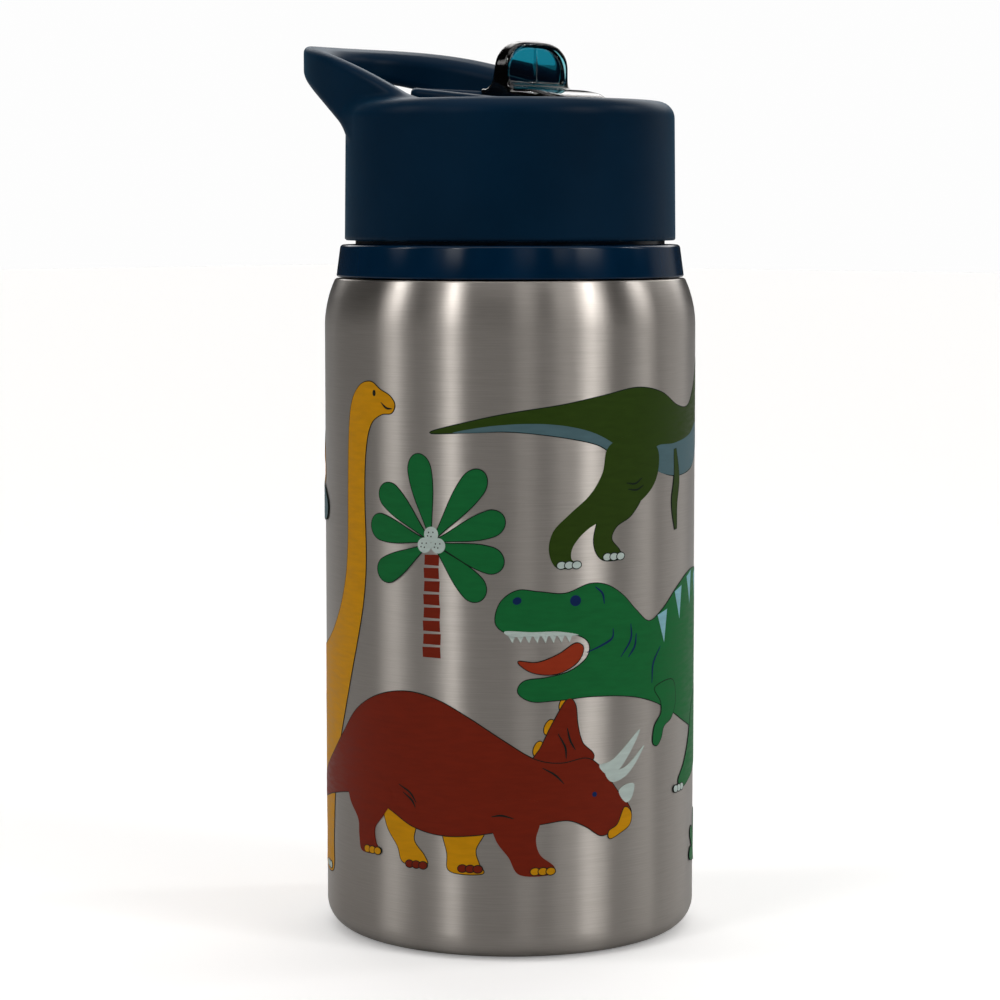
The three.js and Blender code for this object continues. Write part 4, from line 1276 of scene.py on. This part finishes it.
def add_floor():
    """Plain pale floor. To the viewer it is white and glows a little; to the bottle it is grey."""
    size = FLOOR_HALF
    mesh = bpy.data.meshes.new("floor")
    corners = [(-size, -size, 0), (size, -size, 0), (size, size, 0), (-size, size, 0)]
    mesh.from_pydata((np.array(corners, float) * MM).tolist(), [], [[0, 1, 2, 3]])
    white = (1, 1, 1, 1)
    inputs = {"Specular IOR Level": 0.0, "Emission Color": white}
    material, tree, shader = start_material("pale_floor", white, 0.9, 0.0, inputs)
    seen = add_node(tree, "LightPath").outputs["Is Camera Ray"]
    set_inputs(tree, shader, {
        "Emission Strength": math_node(tree, "MULTIPLY", seen, FLOOR_GLOW),
        "Base Color": tint(tree, seen, (FLOOR_GREY, FLOOR_GREY, FLOOR_GREY, 1), white),
    })
    mesh.materials.append(material)
    floor = bpy.data.objects.new("floor", mesh)
    bpy.context.scene.collection.objects.link(floor)


def smooth_step(tree, value, start, end, strength=1.0):
    """Rises smoothly from 0 to strength as the value goes from start to end."""
    return spread(tree, value, 0, strength, start, end, "SMOOTHSTEP")


def strip_light(tree, direction, turn_deg, half_width_deg, softness_deg, strength):
    """A tall soft strip in the surroundings, at an angle to the right of the viewer."""
    angle = VIEW_ANGLE + math.radians(turn_deg)
    middle = (math.cos(angle), math.sin(angle), 0)
    facing = add_node(tree, "VectorMath", {0: direction, 1: middle}, operation="DOT_PRODUCT")
    outer_edge = math.cos(math.radians(half_width_deg + softness_deg))
    inner_edge = math.cos(math.radians(max(half_width_deg - softness_deg, 0)))
    return smooth_step(tree, facing.outputs["Value"], outer_edge, inner_edge, strength)


def studio_light(tree):
    """The light's strength in each direction."""
    ray = add_node(tree, "TexCoord").outputs["Generated"]
    flat = add_node(tree, "VectorMath", {0: ray, 1: (1, 1, 0)}, operation="MULTIPLY").outputs["Vector"]
    level = add_node(tree, "VectorMath", {0: flat}, operation="NORMALIZE").outputs["Vector"]
    rise = add_node(tree, "SeparateXYZ", {"Vector": ray}).outputs["Z"]
    total = 0.0
    for strip in STRIPS:
        total = math_node(tree, "ADD", strip_light(tree, level, *strip), total)
    bottom = smooth_step(tree, rise, STRIP_BOTTOM, STRIP_BOTTOM + STRIP_BOTTOM_FADE)
    top = smooth_step(tree, rise, STRIP_TOP, STRIP_TOP - STRIP_TOP_FADE)
    ceiling = smooth_step(tree, rise, CEILING_FROM, CEILING_FULL, CEILING_LIGHT)
    total = math_node(tree, "MULTIPLY", total, bottom)
    total = math_node(tree, "ADD", strip_light(tree, level, *SIDE_SCREEN), total)
    total = math_node(tree, "MULTIPLY", total, top)
    total = math_node(tree, "ADD", total, ceiling)
    return math_node(tree, "ADD", total, SURROUNDINGS)


def add_surroundings():
    """Dim studio with tall soft strips and a soft ceiling. The viewer sees plain white behind."""
    world = bpy.data.worlds.new("studio")
    bpy.context.scene.world = world
    world.use_nodes = True
    tree = world.node_tree
    tree.nodes.clear()
    lit = add_node(tree, "Background", {"Color": STRIP_COLOR, "Strength": studio_light(tree)})
    plain = add_node(tree, "Background", {"Color": BACKDROP_COLOR})
    path = add_node(tree, "LightPath").outputs
    seen = math_node(tree, "MAXIMUM", path["Is Camera Ray"], path["Is Transmission Ray"])
    inputs = {"Fac": seen, 1: lit.outputs["Background"], 2: plain.outputs["Background"]}
    mix = add_node(tree, "MixShader", inputs)
    add_node(tree, "OutputWorld", {"Surface": mix.outputs["Shader"]})


def add_glint(turn_deg):
    """A small lamp that faces the bottle, at an angle to the right of the viewer."""
    data = bpy.data.lights.new("glint", "AREA")
    data.shape = "RECTANGLE"
    data.size = GLINT_SIZE[0] * MM
    data.size_y = GLINT_SIZE[1] * MM
    data.energy = GLINT_POWER
    lamp = bpy.data.objects.new("glint", data)
    angle = VIEW_ANGLE + math.radians(turn_deg)
    across = (math.cos(angle) * GLINT_DISTANCE, math.sin(angle) * GLINT_DISTANCE)
    lamp.location = Vector((*across, GLINT_HEIGHT)) * MM
    aim = Vector((0, 0, GLINT_AIM_Z)) * MM - lamp.location
    lamp.rotation_euler = aim.to_track_quat("-Z", "Y").to_euler()
    lamp.visible_camera = False
    bpy.context.scene.collection.objects.link(lamp)


# ---- build
add_camera()
add_surroundings()
for glint_turn in GLINT_TURNS:
    add_glint(glint_turn)
add_floor()
bpy.context.scene.view_settings.view_transform = "Standard"

steel = brushed_steel()
satin = satin_steel()
silicone = moulded("milky_silicone", linear(214, 220, 222), 0.45, 0.3)
insert_plastic = moulded("insert_plastic", linear(226, 228, 230), 0.4, 0.1)
solder_glass = moulded("solder_glass", linear(60, 66, 58), 0.2)

outer_shell(steel)
base_cover(steel)
neck_collar(navy_gloss())
inner_liner(satin)
lid_shell(navy_matte())
threaded_insert(insert_plastic)
lid_gasket(silicone)
straw(clear_straw())
spout(clear_teal())
printed_pictures()

kept_nodes = {
    "outer_bottom": satin, "inner_bottom": satin, "getter_cup": satin, "spout_pin_right": satin,
    "spout_pin_left": satin, "vacuum_seal": solder_glass, "getter_tablet": rough_metal(),
    "vent_valve": silicone, "spout_seal": silicone, "straw_socket": silicone,
}
for node_name, node_material in kept_nodes.items():
    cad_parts[node_name].material_slots[0].material = node_material
